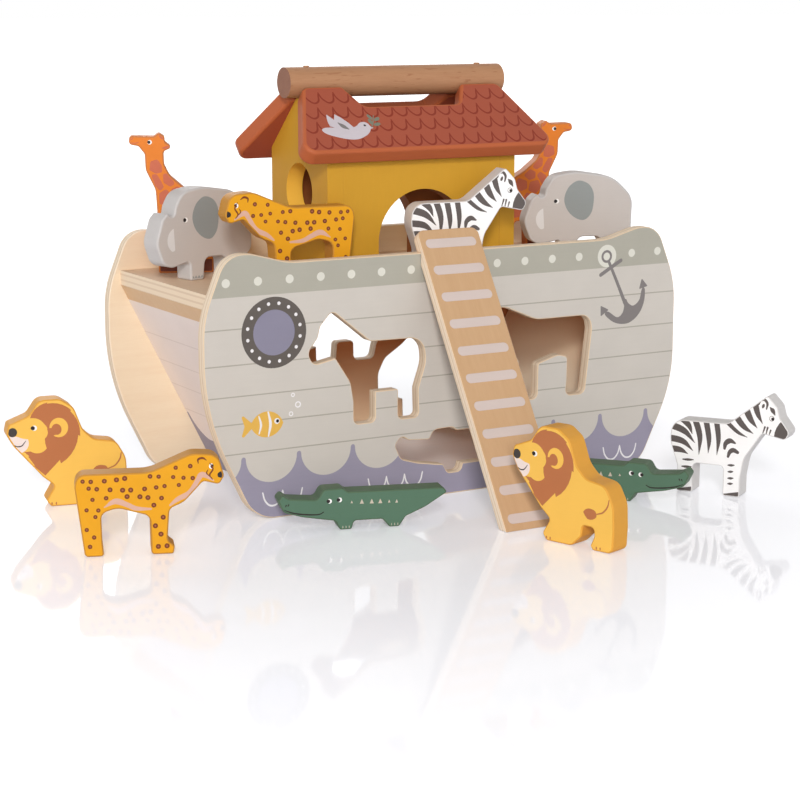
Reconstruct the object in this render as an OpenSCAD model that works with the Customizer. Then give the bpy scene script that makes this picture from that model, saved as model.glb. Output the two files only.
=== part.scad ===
// Wooden ark toy: an open plywood hull with animal-shaped posting holes, a lift-off house with a
// carrying handle, a boarding ramp and six pairs of flat wooden animals.
// Millimetres. +X runs along the hull, +Z is up, the boarding side faces -Y.
// The origin is the middle of the hull's bottom, on the table.

/* [Hull] */
// Overall length of the side panels
hull_length = 360; // [340:1:420]
// Overall width across the side panels
hull_width = 160; // [150:1:200]
// Height of the gunwale amidships
gunwale_height = 162; // [158:1:190]
// Rise of the gunwale near each end
hump_rise = 7; // [4:0.5:12]
// Distance from the bow, the left end, to the end of the keel
bow_keel_inset = 33.5; // [28:0.5:40]
// Distance from the stern, the right end, to the end of the keel
stern_keel_inset = 28.5; // [24:0.5:36]
// Radius of the keel's ends
keel_radius = 24; // [16:1:28]
// Height at which the flare of the bow turns upright
bow_flare_height = 69.5; // [60:0.5:76]
// Height at which the flare of the stern turns upright
stern_flare_height = 59; // [52:0.5:70]
// Radius of the bow's flare
bow_flare_radius = 150; // [90:5:160]
// Radius of the stern's flare
stern_flare_radius = 100; // [80:5:140]
// Distance from the gunwale down to the shoulder of the ends
shoulder_drop = 32.5; // [26:0.5:38]
// Radius of the shoulder
shoulder_radius = 70; // [40:5:80]
// Distance from the hull's end to the hump's outer corner
hump_inset = 16; // [12:0.5:20]
// Radius of the hump's outer corner
hump_radius = 17; // [10:1:20]
// Length of the hump's top
hump_top = 17; // [15:0.5:24]
// Length of the slope from the hump down to the gunwale
hump_slope = 26; // [22:0.5:34]
// Radius between the hump's top and its slope
crest_radius = 32; // [20:1:40]
// Radius between the slope and the gunwale
sheer_radius = 50; // [30:1:60]
// Thickness of the side and end panels
panel_thickness = 8; // [7:0.5:10]
// Lean of the end panels from upright, in degrees
end_slope = 26.7; // [22:0.1:30]

/* [Deck and floor] */
// Thickness of the deck board
deck_thickness = 9.5; // [8:0.5:11]
// Height of the gunwale above the deck
bulwark_height = 19; // [15:0.5:24]
// Distance from the hull's end to the deck's end
deck_inset = 9; // [6:0.5:12]
// Thickness of the floor board
floor_thickness = 8; // [7:0.5:12]
// Width of the rim left round the hatch inside the house walls
hatch_rim = 4; // [2:0.5:8]

/* [House] */
// Length of the house over its gables
house_length = 144; // [130:1:150]
// Width of the house over its long walls
house_width = 80; // [74:1:82]
// Thickness of the house walls
wall_thickness = 12; // [10:0.5:14]
// Height from the deck to the peak of the gables
house_height = 118; // [112:1:130]
// Half the width of the arched doorways
arch_radius = 34; // [26:0.5:38]
// Height from the deck to the spring of the arches
arch_spring = 21.8; // [15:0.2:26]
// Radius of the round gable windows
window_radius = 18.5; // [12:0.5:20]
// Height from the deck to the window centres
window_rise = 54.5; // [48:0.5:58]

/* [Roof] */
// Pitch of the roof, in degrees
roof_pitch = 42.8; // [40:0.1:46]
// Thickness of the roof boards
roof_thickness = 12; // [9:0.5:13]
// Half length of a roof board at its upper edge
ridge_half_length = 75; // [72:0.5:80]
// Half length of a roof board at its eave
eave_half_length = 97; // [90:0.5:104]
// Distance down the slope from the peak to the front eave
front_rafter_length = 63.5; // [60:0.5:68]
// Distance down the slope from the peak to the rear eave
rear_rafter_length = 67.5; // [60:0.5:70]
// Length of the finger gap at the upper edge
finger_gap_length = 92; // [80:1:100]
// Depth of the finger gap down the slope
finger_gap_depth = 18.6; // [12:0.2:22]
// Diameter of the ridge handle
handle_diameter = 20; // [18:0.5:22]
// Length of the ridge handle
handle_length = 165; // [160:1:180]
// Height of the handle's axis above the peak
handle_rise = 7.6; // [6:0.1:9]

/* [Ramp] */
// Width of the boarding ramp
ramp_width = 46; // [40:1:50]
// Thickness of the boarding ramp
ramp_thickness = 7; // [6:0.2:9]
// Angle of the ramp above the table, in degrees
ramp_angle = 58.2; // [54:0.1:62]
// Length of the ramp's upper face
ramp_length = 207; // [202:1:225]
// Depth of the notch that hooks over the gunwale
ramp_hook = 3.9; // [2:0.1:5]
// Place of the ramp's middle along the hull
ramp_place = -3; // [-8:0.5:0]

/* [Animals] */
// Thickness of the flat animals
animal_thickness = 15; // [12:0.5:16]
// Gap all round an animal in its posting hole
posting_gap = 2; // [1.5:0.1:3]
// Height of the lions
lion_height = 70; // [60:1:72]
// Height of the leopards
leopard_height = 60; // [52:1:62]
// Height of the crocodiles
crocodile_height = 26; // [22:1:28]
// Height of the zebras
zebra_height = 69; // [60:1:70]
// Height of the elephants
elephant_height = 60; // [52:1:61]
// Height of the giraffes
giraffe_height = 92; // [80:1:96]

/* [Posting hole places] */
// Zebra hole, left of the middle of the front panel
zebra_hole_place = 65; // [60:0.5:70]
// Leopard hole, right of the middle of the front panel
leopard_hole_place = 64; // [58:0.5:70]
// Crocodile hole, right of the middle of the front panel
crocodile_hole_place = 11; // [5:0.5:16]
// Lion hole, left of the middle of the rear panel
lion_hole_place = 100; // [97:0.5:103]
// Elephant hole, left of the middle of the rear panel
elephant_hole_place = 7; // [5:0.5:9]
// Giraffe hole, right of the middle of the rear panel
giraffe_hole_place = 58.5; // [57:0.5:66]
// Wood between the rear panel's upper holes and the deck
hole_headroom = 3.5; // [2:0.5:6]
// Wood between the floor and the giraffe hole
giraffe_hole_rise = 5.5; // [3:0.5:8]

/* [Standing places] */
// Left lion: distance beyond the hull's end
lion_left_out = 53; // [48:0.5:60]
// Left lion: distance behind the middle of the hull
lion_left_back = 16.5; // [0:0.5:30]
// Right lion: distance left of the middle of the hull
lion_right_along = 11; // [5:0.5:20]
// Right lion: distance in front of the ramp's foot
lion_right_out = 38; // [34:0.5:50]
// Left leopard: distance beyond the hull's end
leopard_left_out = 55; // [50:0.5:70]
// Left leopard: distance in front of the hull
leopard_left_ahead = 41; // [30:0.5:60]
// Deck leopard: distance beyond the house
leopard_deck_out = 33; // [28:0.5:38]
// Deck leopard: distance in front of the house wall
leopard_deck_ahead = 12.5; // [12:0.5:14]
// Left crocodile: distance left of the middle of the hull
crocodile_left_along = 97; // [90:0.5:110]
// Left crocodile: distance in front of the hull
crocodile_left_out = 51; // [45:0.5:60]
// Right crocodile: distance right of the middle of the hull
crocodile_right_along = 78; // [74:0.5:88]
// Right crocodile: distance in front of the hull
crocodile_right_out = 67; // [62:0.5:72]
// Right zebra: distance right of the middle of the hull
zebra_right_along = 151.5; // [148:0.5:160]
// Right zebra: distance in front of the hull
zebra_right_out = 98.5; // [92:0.5:105]
// Deck zebra: distance right of the middle of the hull
zebra_deck_along = 20.5; // [16:0.5:24]
// Deck zebra: distance in front of the house wall
zebra_deck_ahead = 25; // [24:0.5:26]
// Left elephant: distance in from the deck's end
elephant_left_in = 32; // [28:0.5:36]
// Left elephant: distance behind the middle of the hull
elephant_left_back = 2.5; // [-2:0.5:6]
// Right elephant: distance in from the deck's end
elephant_right_in = 33.5; // [33:0.5:40]
// Right elephant: distance in front of the middle of the hull
elephant_right_ahead = 23.5; // [20:0.5:28]
// Left giraffe: distance in from the deck's end
giraffe_left_in = 25; // [22:0.5:30]
// Left giraffe: distance behind the middle of the hull
giraffe_left_back = 41.5; // [38:0.5:44]
// Right giraffe: distance in from the deck's end
giraffe_right_in = 31; // [28:0.5:36]
// Right giraffe: distance behind the middle of the hull
giraffe_right_back = 35; // [30:0.5:40]

/* [Dowels and fits] */
// Diameter of the hidden joint dowels
dowel_diameter = 5; // [4:0.5:6]
// Depth of a hull dowel in a side panel
dowel_panel_depth = 5; // [4:0.5:6]
// Depth of a dowel in the edge of a board
dowel_board_depth = 13; // [10:1:15]
// Depth of a dowel in the face of a gable or a roof board
dowel_face_depth = 7; // [5:0.5:8]
// Diameter of the pins that hold the handle
ridge_pin_diameter = 4; // [3:0.2:4.4]
// Diameter of the pegs that seat the house in the deck
seat_peg_diameter = 6; // [5:0.5:7]
// Length of a seat peg below the house
seat_peg_reach = 7; // [4:0.5:7]
// Gap round a glued dowel or pin
glue_gap = 0.05; // [0.02:0.01:0.1]
// Gap round a seat peg, and between the ramp's notch and the gunwale
lift_gap = 0.3; // [0.2:0.05:0.5]

/* [Hidden] */
$fn = 48;
arc_step = 18;
arc_chord = 5;
least_radius = 0.4;
overcut = 1;

deck_top = gunwale_height - bulwark_height;
deck_underside = deck_top - deck_thickness;
deck_half = hull_length / 2 - deck_inset;
inner_half = hull_width / 2 - panel_thickness;
end_width = panel_thickness / cos(end_slope);
peak = deck_top + house_height;
house_half_length = house_length / 2;
house_half_width = house_width / 2;
gable_middle = house_half_length - wall_thickness / 2;
wall_middle = house_half_width - wall_thickness / 2;
handle_axis = peak + handle_rise;
handle_underside = handle_axis - handle_diameter / 2;
// The upper edge of a roof board stops just short of the handle
roof_top = handle_diameter / 2 + lift_gap - handle_rise * sin(roof_pitch);

function end_face(z) = deck_half - (deck_underside - z) * tan(end_slope);
function roof_underside(y) = peak - abs(y) * tan(roof_pitch);

// Hidden hull dowels, as [x, z]
deck_dowels = [for (x = [-150, -90, 90, 150]) [x * hull_length / 360, deck_top - deck_thickness / 2]];
floor_dowels = [for (x = [-70, 0, 70]) [x, floor_thickness / 2]];
end_dowel_heights = [30, 75, 115];
function end_dowels(side) =
    [for (z = end_dowel_heights) [side * (end_face(z) - end_width / 2), z]];

// House dowels: heights above the deck of those between walls and gables, and distances down the
// slope of those between gables and roof boards
wall_dowel_heights = [15, 66];
roof_dowel_places = [24, 48];
gable_dowel_depth = 12;
ridge_pin_depth = 18;
ridge_pin_proud = 0.8;
seat_peg_depth = 14;
seat_peg_place = 25;

// The ramp's upper face meets the table here, so that its notch seats on the gunwale
ramp_foot = -hull_width / 2
    - (ramp_thickness - ramp_hook + gunwale_height * cos(ramp_angle)) / sin(ramp_angle);

// Animal outlines, drawn facing left from the middle of the feet, as [x, z, corner radius]
lion_outline = [
    [-11.8, 0, 2.5], [7.5, 0, 6], [14.6, 6.8, 4], [15.6, 13.8, 2], [23.6, 13.8, 2.6], [24.2, 8.6, 4],
    [21.4, 2.6, 1.4], [23.2, 0, 1], [37.6, 0, 4], [38.4, 14, 30], [37.8, 29, 14], [31.5, 40.6, 8],
    [17, 42.6, 9], [10, 49.5, 12], [4.6, 64.5, 9], [-4, 70.4, 8], [-17.5, 70.4, 7], [-24.2, 60.6, 6],
    [-37.4, 55.4, 2.6], [-38.9, 49, 5], [-34.6, 41, 10], [-16.4, 19.8, 8], [-9, 13.6, 2.5],
    [-14.8, 4.2, 2.4]];
leopard_outline = [
    [-13.3, 0, 1.4], [-0.3, 0, 2], [0, 23.5, 5], [19, 29, 12], [28.5, 26, 5], [28.2, 8, 10],
    [27.4, 0, 1.8], [38.6, 0, 2.5], [43.6, 42, 6], [42.2, 49.8, 6], [0, 49.8, 24], [-25, 60.3, 14],
    [-40.6, 59.2, 8], [-44, 46, 3.5], [-41, 41, 2.6], [-31.6, 43.4, 3], [-20, 31, 14],
    [-11.4, 27.4, 4.5], [-9.9, 8.2, 4.5], [-14.2, 4.6, 1.6]];
crocodile_outline = [
    [-14.6, 0, 1.4], [-7.4, 0, 1.6], [-5.8, 5.3, 2.6], [12.4, 5.3, 3], [16.8, 0, 1.6], [23, 0, 1.6],
    [27, 6, 4], [40, 11.6, 25], [54, 20.2, 1.2], [51.5, 23.2, 1], [-9.6, 23.8, 4], [-12.6, 26.3, 3],
    [-25, 26, 3.5], [-28.8, 19.7, 3.5], [-46.5, 21.2, 5], [-50.5, 23.8, 1.6], [-53.4, 20.5, 1.8],
    [-50, 12.8, 4], [-38, 9.2, 20], [-17.8, 5.8, 3]];
zebra_outline = [
    [-8.2, 0, 1.5], [3.3, 0, 1.5], [3.3, 20, 3], [24.6, 20, 3.5], [24.6, 0, 1.5], [35.8, 0, 1.5],
    [35.2, 17, 12], [41, 34, 18], [39.5, 48.2, 9], [1, 48.8, 8], [-25.3, 69.8, 1.8], [-32.2, 62.4, 5],
    [-34, 55.4, 8], [-40.8, 46.6, 3.8], [-38, 41.3, 2.8], [-22.4, 44.4, 2.6], [-10.6, 26.5, 14],
    [-8.2, 13, 10]];
elephant_outline = [
    [-13, 0, 1.6], [-2, 0, 1.8], [-0.8, 14.3, 5], [17.2, 14.3, 5], [17.4, 0, 1.8], [29.5, 0, 2.2],
    [31.8, 10, 8], [38.8, 17.5, 8], [39.6, 42, 14], [24.8, 56.5, 24], [-2, 60.6, 40], [-19, 57.8, 12],
    [-24.4, 48.5, 8], [-26, 40.4, 2.4], [-30.6, 45.2, 1.4], [-35, 41.2, 6], [-40.4, 26, 12],
    [-34.8, 11.5, 8], [-27, 9.6, 8], [-13.3, 12.6, 2.4]];
giraffe_outline = [
    [-9, 0, 1.5], [6.8, 0, 1.8], [7.2, 20, 3.5], [16, 20, 3.5], [16.4, 0, 1.8], [27.4, 0, 1.8],
    [27.8, 38, 10], [22.5, 48, 8], [8.5, 56.8, 12], [-0.6, 64.8, 9], [-4, 72, 8], [-4.2, 80.8, 2.4],
    [1.8, 83.2, 1.5], [-3.2, 86.8, 2.2], [-3.4, 90.4, 1.6], [-7.2, 92.8, 1.6], [-10.4, 90.4, 2.2],
    [-26.4, 91, 2.6], [-26.9, 85.4, 2.4], [-20.5, 84.2, 3], [-16.6, 79, 3], [-16.2, 68.5, 10],
    [-10, 55.5, 10], [-9.2, 40, 20]];

// The outlines are drawn at these heights: lion 70, leopard 60, crocodile 26, zebra 69,
// elephant 60, giraffe 92
function sized(outline, factor) = [for (corner = outline) corner * factor];
lion = sized(lion_outline, lion_height / 70);
leopard = sized(leopard_outline, leopard_height / 60);
crocodile = sized(crocodile_outline, crocodile_height / 26);
zebra = sized(zebra_outline, zebra_height / 69);
elephant = sized(elephant_outline, elephant_height / 60);
giraffe = sized(giraffe_outline, giraffe_height / 92);

// The height that is left over in the hold above and below two holes, one over the other
hold_height = deck_underside - floor_thickness;
function spare_height(upper) = hold_height - crocodile_height - upper - 4 * posting_gap;
function upper_feet(height, share) =
    deck_underside - posting_gap - height - share * spare_height(height);

// Posting holes: middle of the feet along the hull, height of the feet, 1 facing left or -1 right
zebra_hole = [-zebra_hole_place, upper_feet(zebra_height, 0.265), 1];
leopard_hole = [leopard_hole_place, upper_feet(leopard_height, 0.38), 1];
crocodile_hole = [
    crocodile_hole_place, floor_thickness + posting_gap + 0.29 * spare_height(zebra_height), 1];
lion_hole = [-lion_hole_place, deck_underside - posting_gap - lion_height - hole_headroom, 1];
elephant_hole = [
    -elephant_hole_place, deck_underside - posting_gap - elephant_height - hole_headroom, 1];
giraffe_hole = [giraffe_hole_place, floor_thickness + posting_gap + giraffe_hole_rise, -1];

// Where the animals stand: x, y and z of the front of the feet, turn, 1 facing left or -1 right
house_front = -house_half_width;
hull_front = -hull_width / 2;
hull_end = hull_length / 2;
lion_left_place = [-hull_end - lion_left_out, lion_left_back, 0, -11.5, 1];
lion_right_place = [-lion_right_along, ramp_foot - lion_right_out, 0, -72, 1];
leopard_left_place = [-hull_end - leopard_left_out, hull_front - leopard_left_ahead, 0, -20.8, -1];
leopard_deck_place = [
    -house_half_length - leopard_deck_out, house_front - leopard_deck_ahead, deck_top, -6.6, 1];
crocodile_left_place = [-crocodile_left_along, hull_front - crocodile_left_out, 0, -16.3, 1];
crocodile_right_place = [crocodile_right_along, hull_front - crocodile_right_out, 0, -51.3, -1];
zebra_right_place = [zebra_right_along, hull_front - zebra_right_out, 0, -58.2, -1];
zebra_deck_place = [zebra_deck_along, house_front - zebra_deck_ahead, deck_top, -11, -1];
elephant_left_place = [elephant_left_in - deck_half, elephant_left_back, deck_top, 14, 1];
elephant_right_place = [deck_half - elephant_right_in, -elephant_right_ahead, deck_top, -18, 1];
giraffe_left_place = [giraffe_left_in - deck_half, giraffe_left_back, deck_top, -23, 1];
giraffe_right_place = [deck_half - giraffe_right_in, giraffe_right_back, deck_top, -20, -1];

// Outline helpers: an outline is a counter-clockwise list of [x, y, radius]
function unit(v) = v / norm(v);
function flat_point(corner) = [corner[0], corner[1]];
function neighbour(outline, i) = flat_point(outline[(i + len(outline)) % len(outline)]);
function edge_normal(a, b) = let (along = unit(b - a)) [along[1], -along[0]];
function turned(v, angle) =
    [v[0] * cos(angle) - v[1] * sin(angle), v[0] * sin(angle) + v[1] * cos(angle)];

// A corner moved out so that both its edges lie a distance further out
function grown_corner(outline, i, distance) =
    let (here = neighbour(outline, i),
         normal_in = edge_normal(neighbour(outline, i - 1), here),
         normal_out = edge_normal(here, neighbour(outline, i + 1)),
         moved = here + (normal_in + normal_out) * distance / (1 + normal_in * normal_out),
         bulges = cross(normal_in, normal_out) > 0,
         radius = outline[i][2] + (bulges ? distance : -distance))
    [moved[0], moved[1], max(radius, least_radius)];

function grown(outline, distance) =
    [for (i = [0 : len(outline) - 1]) grown_corner(outline, i, distance)];

// How far a corner's arc reaches along its edges, and the share of it that the edges have room for
function corner_turn(outline, i) =
    let (here = neighbour(outline, i))
    180 - acos(unit(neighbour(outline, i - 1) - here) * unit(neighbour(outline, i + 1) - here));
function corner_reach(outline, i) =
    outline[(i + len(outline)) % len(outline)][2] * tan(corner_turn(outline, i) / 2);
function edge_room(outline, i) =
    norm(neighbour(outline, i + 1) - neighbour(outline, i))
        / (corner_reach(outline, i) + corner_reach(outline, i + 1));
function room_share(outline, i) = min(1, 0.98 * edge_room(outline, i - 1), 0.98 * edge_room(outline, i));

// The points of the arc that rounds one corner
function corner_arc(outline, i) =
    let (here = neighbour(outline, i),
         back = unit(neighbour(outline, i - 1) - here),
         ahead = unit(neighbour(outline, i + 1) - here),
         turn = corner_turn(outline, i),
         half_angle = 90 - turn / 2,
         radius = outline[i][2] * room_share(outline, i),
         centre = here + unit(back + ahead) * radius / sin(half_angle),
         spoke = here + back * radius / tan(half_angle) - centre,
         way = cross(back, ahead) < 0 ? 1 : -1,
         steps = ceil(max(turn / arc_step, turn * PI / 180 * radius / arc_chord)))
    [for (k = [0 : steps]) centre + turned(spoke, way * turn * k / steps)];

function rounded(outline) = [for (i = [0 : len(outline) - 1]) each corner_arc(outline, i)];

// A flat shape drawn in X and Z, from y = 0 back to y = depth
module upright(depth) {
    translate([0, depth, 0])
        rotate([90, 0, 0])
            linear_extrude(depth) children();
}

// A flat shape drawn in Y and Z, from x = 0 on to x = depth
module crosswise(depth) {
    rotate([90, 0, 90])
        linear_extrude(depth) children();
}

// Turned end for end when the way is negative
module facing(way) {
    if (way < 0)
        mirror([1, 0, 0]) children();
    else
        children();
}

// Turned front to back when the side is positive
module backing(side) {
    if (side > 0)
        mirror([0, 1, 0]) children();
    else
        children();
}

module both_ends() {
    children();
    mirror([1, 0, 0]) children();
}

module both_sides() {
    children();
    mirror([0, 1, 0]) children();
}

module rod(diameter, from, to, gap = 0) {
    translate([0, 0, from - gap])
        cylinder(d = diameter + 2 * gap, h = to - from + 2 * gap);
}

// The hidden dowels of the hull, or with a gap their holes
module hull_dowel_set(places, gap = 0) {
    both_sides()
        for (place = places)
            translate([place[0], 0, place[1]])
                rotate([-90, 0, 0])
                    rod(dowel_diameter, inner_half - dowel_board_depth, inner_half + dowel_panel_depth, gap);
}

// One end of the side panel, from the keel up to the middle of the gunwale
function panel_end(keel_inset, flare_height, flare_radius) =
    let (end = hull_length / 2,
         hump_height = gunwale_height + hump_rise,
         crest = end - hump_inset - hump_top)
    [[end - keel_inset, 0, keel_radius],
     [end, flare_height, flare_radius],
     [end, gunwale_height - shoulder_drop, shoulder_radius],
     [end - hump_inset, hump_height, hump_radius],
     [crest, hump_height, crest_radius],
     [crest - hump_slope, gunwale_height, sheer_radius]];

function panel_outline() =
    let (stern = panel_end(stern_keel_inset, stern_flare_height, stern_flare_radius),
         bow = panel_end(bow_keel_inset, bow_flare_height, bow_flare_radius),
         last = len(bow) - 1)
    concat(stern, [for (i = [last : -1 : 0]) [-bow[i][0], bow[i][1], bow[i][2]]]);

module posting_hole(outline, place) {
    translate([place[0], -overcut, place[1]])
        facing(place[2])
            upright(panel_thickness + 2 * overcut)
                polygon(rounded(grown(outline, posting_gap)));
}

module side_panel() {
    upright(panel_thickness) polygon(rounded(panel_outline()));
}

all_hull_dowels = concat(deck_dowels, floor_dowels, end_dowels(-1), end_dowels(1));

module side_panel_front() {
    color("gainsboro")
        difference() {
            translate([0, -hull_width / 2, 0])
                difference() {
                    side_panel();
                    posting_hole(zebra, zebra_hole);
                    posting_hole(leopard, leopard_hole);
                    posting_hole(crocodile, crocodile_hole);
                }
            hull_dowel_set(all_hull_dowels, glue_gap);
        }
}

module side_panel_rear() {
    color("gainsboro")
        difference() {
            translate([0, inner_half, 0])
                difference() {
                    side_panel();
                    posting_hole(lion, lion_hole);
                    posting_hole(elephant, elephant_hole);
                    posting_hole(giraffe, giraffe_hole);
                }
            hull_dowel_set(all_hull_dowels, glue_gap);
        }
}

module end_panel(side) {
    color("lightgray")
        difference() {
            facing(side)
                translate([0, -inner_half, 0])
                    upright(2 * inner_half)
                        polygon([
                            [end_face(0) - end_width, 0],
                            [end_face(0), 0],
                            [end_face(deck_underside), deck_underside],
                            [end_face(deck_underside) - end_width, deck_underside]]);
            hull_dowel_set(end_dowels(side), glue_gap);
        }
}

module end_panel_left() {
    end_panel(-1);
}

module end_panel_right() {
    end_panel(1);
}

module hull_floor() {
    color("burlywood")
        difference() {
            translate([0, -inner_half, 0])
                upright(2 * inner_half)
                    polygon([
                        [end_width - end_face(0), 0],
                        [end_face(0) - end_width, 0],
                        [end_face(floor_thickness) - end_width, floor_thickness],
                        [end_width - end_face(floor_thickness), floor_thickness]]);
            hull_dowel_set(floor_dowels, glue_gap);
        }
}

module seat_peg_places() {
    both_sides()
        both_ends()
            translate([gable_middle, seat_peg_place, deck_top]) children();
}

module deck_board() {
    hatch_length = house_length - 2 * wall_thickness - 2 * hatch_rim;
    hatch_width = house_width - 2 * wall_thickness - 2 * hatch_rim;
    color("burlywood")
        difference() {
            translate([-deck_half, -inner_half, deck_underside])
                cube([2 * deck_half, 2 * inner_half, deck_thickness]);
            translate([-hatch_length / 2, -hatch_width / 2, deck_underside - overcut])
                cube([hatch_length, hatch_width, deck_thickness + 2 * overcut]);
            seat_peg_places()
                rod(seat_peg_diameter, -seat_peg_reach, overcut, lift_gap);
            hull_dowel_set(deck_dowels, glue_gap);
        }
}

module hull_dowels() {
    color("tan") hull_dowel_set(all_hull_dowels);
}

// The dowels between the house walls and the gables, or with a gap their holes
module wall_dowel_set(gap = 0) {
    both_sides()
        both_ends()
            for (height = wall_dowel_heights)
                translate([house_half_length - wall_thickness, wall_middle, deck_top + height])
                    rotate([0, 90, 0])
                        rod(dowel_diameter, -dowel_board_depth, dowel_face_depth, gap);
}

// The dowels between the gables and the roof boards, or with a gap their holes
module roof_dowel_set(gap = 0) {
    both_sides()
        both_ends()
            for (place = roof_dowel_places)
                translate([gable_middle, 0, peak])
                    rotate([roof_pitch, 0, 0])
                        translate([0, -place, 0])
                            rod(dowel_diameter, -gable_dowel_depth, dowel_face_depth, gap);
}

// The upright pins through the handle into the gables, or with a gap their holes
module ridge_pin_set(gap = 0) {
    both_ends()
        translate([gable_middle, 0, 0])
            rod(ridge_pin_diameter, handle_underside - ridge_pin_depth,
                handle_axis + handle_diameter / 2 + ridge_pin_proud, gap);
}

module long_wall(side) {
    inner_face = house_half_width - wall_thickness;
    wall_length = house_length - 2 * wall_thickness;
    color("goldenrod")
        backing(side)
            difference() {
                translate([-wall_length / 2, 0, 0])
                    crosswise(wall_length)
                        polygon([
                            [-house_half_width, deck_top],
                            [-inner_face, deck_top],
                            [-inner_face, roof_underside(inner_face)],
                            [-house_half_width, roof_underside(house_half_width)]]);
                translate([0, overcut - inner_face, deck_top + arch_spring])
                    rotate([90, 0, 0])
                        cylinder(r = arch_radius, h = wall_thickness + 2 * overcut);
                translate([-arch_radius, -house_half_width - overcut, deck_top - overcut])
                    cube([2 * arch_radius, wall_thickness + 2 * overcut, arch_spring + overcut]);
                wall_dowel_set(glue_gap);
            }
}

module cabin_front_wall() {
    long_wall(-1);
}

module cabin_rear_wall() {
    long_wall(1);
}

module gable(side) {
    gable_top = handle_underside - lift_gap;
    top_half = (peak - gable_top) / tan(roof_pitch);
    color("goldenrod")
        facing(side)
            difference() {
                translate([house_half_length - wall_thickness, 0, 0])
                    crosswise(wall_thickness)
                        polygon([
                            [-house_half_width, deck_top],
                            [house_half_width, deck_top],
                            [house_half_width, roof_underside(house_half_width)],
                            [top_half, gable_top],
                            [-top_half, gable_top],
                            [-house_half_width, roof_underside(house_half_width)]]);
                translate([house_half_length - wall_thickness - overcut, 0, deck_top + window_rise])
                    rotate([0, 90, 0])
                        cylinder(r = window_radius, h = wall_thickness + 2 * overcut);
                seat_peg_places()
                    rod(seat_peg_diameter, -seat_peg_reach, seat_peg_depth, glue_gap);
                wall_dowel_set(glue_gap);
                roof_dowel_set(glue_gap);
                ridge_pin_set(glue_gap);
            }
}

module cabin_gable_left() {
    gable(-1);
}

module cabin_gable_right() {
    gable(1);
}

module cabin_wall_dowels() {
    color("tan") wall_dowel_set();
}

module cabin_seat_pegs() {
    color("tan")
        seat_peg_places()
            rod(seat_peg_diameter, -seat_peg_reach, seat_peg_depth);
}

// A roof board drawn flat: x along the house, y up the slope towards the peak
function roof_outline(rafter_length) = [
    [-eave_half_length, -rafter_length, 8],
    [eave_half_length, -rafter_length, 8],
    [ridge_half_length, -roof_top, 6],
    [finger_gap_length / 2, -roof_top, 3],
    [finger_gap_length / 2 - 9.5, -roof_top - finger_gap_depth, 7],
    [9.5 - finger_gap_length / 2, -roof_top - finger_gap_depth, 7],
    [-finger_gap_length / 2, -roof_top, 3],
    [-ridge_half_length, -roof_top, 6]];

module roof_board(side, rafter_length) {
    color("sienna")
        difference() {
            backing(side)
                translate([0, 0, peak])
                    rotate([roof_pitch, 0, 0])
                        linear_extrude(roof_thickness)
                            polygon(rounded(roof_outline(rafter_length)));
            roof_dowel_set(glue_gap);
        }
}

module roof_board_front() {
    roof_board(-1, front_rafter_length);
}

module roof_board_rear() {
    roof_board(1, rear_rafter_length);
}

module roof_dowels() {
    color("tan") roof_dowel_set();
}

module ridge_handle() {
    color("peru")
        difference() {
            translate([-handle_length / 2, 0, handle_axis])
                rotate([0, 90, 0])
                    cylinder(d = handle_diameter, h = handle_length);
            ridge_pin_set(glue_gap);
        }
}

module ridge_pins() {
    color("tan") ridge_pin_set();
}

// The ramp is cut flat where it stands on the table and notched where it hooks over the gunwale
module boarding_ramp() {
    tail = 2 * ramp_thickness;
    half = ramp_width / 2;
    color("burlywood")
        difference() {
            translate([ramp_place, ramp_foot, 0])
                rotate([ramp_angle, 0, 0])
                    translate([0, 0, -ramp_thickness])
                        linear_extrude(ramp_thickness)
                            polygon(rounded([
                                [-half, -tail, 1],
                                [half, -tail, 1],
                                [half, ramp_length, 5],
                                [-half, ramp_length, 5]]));
            translate([ramp_place - ramp_width, 2 * ramp_foot, -4 * tail])
                cube([2 * ramp_width, -2 * ramp_foot, 4 * tail]);
            translate([ramp_place - ramp_width, hull_front - lift_gap, 0])
                cube([2 * ramp_width, hull_width, gunwale_height]);
        }
}

// A flat animal standing at its place
module animal(outline, place) {
    translate([place[0], place[1], place[2]])
        rotate([0, 0, place[3]])
            facing(place[4])
                upright(animal_thickness)
                    polygon(rounded(outline));
}

module lion_left() {
    color("goldenrod") animal(lion, lion_left_place);
}

module lion_right() {
    color("goldenrod") animal(lion, lion_right_place);
}

module leopard_left() {
    color("orange") animal(leopard, leopard_left_place);
}

module leopard_deck() {
    color("orange") animal(leopard, leopard_deck_place);
}

module crocodile_left() {
    color("seagreen") animal(crocodile, crocodile_left_place);
}

module crocodile_right() {
    color("seagreen") animal(crocodile, crocodile_right_place);
}

module zebra_right() {
    color("whitesmoke") animal(zebra, zebra_right_place);
}

module zebra_deck() {
    color("whitesmoke") animal(zebra, zebra_deck_place);
}

module elephant_left() {
    color("darkgray") animal(elephant, elephant_left_place);
}

module elephant_right() {
    color("darkgray") animal(elephant, elephant_right_place);
}

module giraffe_left() {
    color("darkorange") animal(giraffe, giraffe_left_place);
}

module giraffe_right() {
    color("darkorange") animal(giraffe, giraffe_right_place);
}

side_panel_front();
side_panel_rear();
end_panel_left();
end_panel_right();
hull_floor();
deck_board();
hull_dowels();
cabin_front_wall();
cabin_rear_wall();
cabin_gable_left();
cabin_gable_right();
cabin_wall_dowels();
cabin_seat_pegs();
roof_board_front();
roof_board_rear();
roof_dowels();
ridge_handle();
ridge_pins();
boarding_ramp();
lion_left();
lion_right();
leopard_left();
leopard_deck();
crocodile_left();
crocodile_right();
zebra_right();
zebra_deck();
elephant_left();
elephant_right();
giraffe_left();
giraffe_right();
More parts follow.
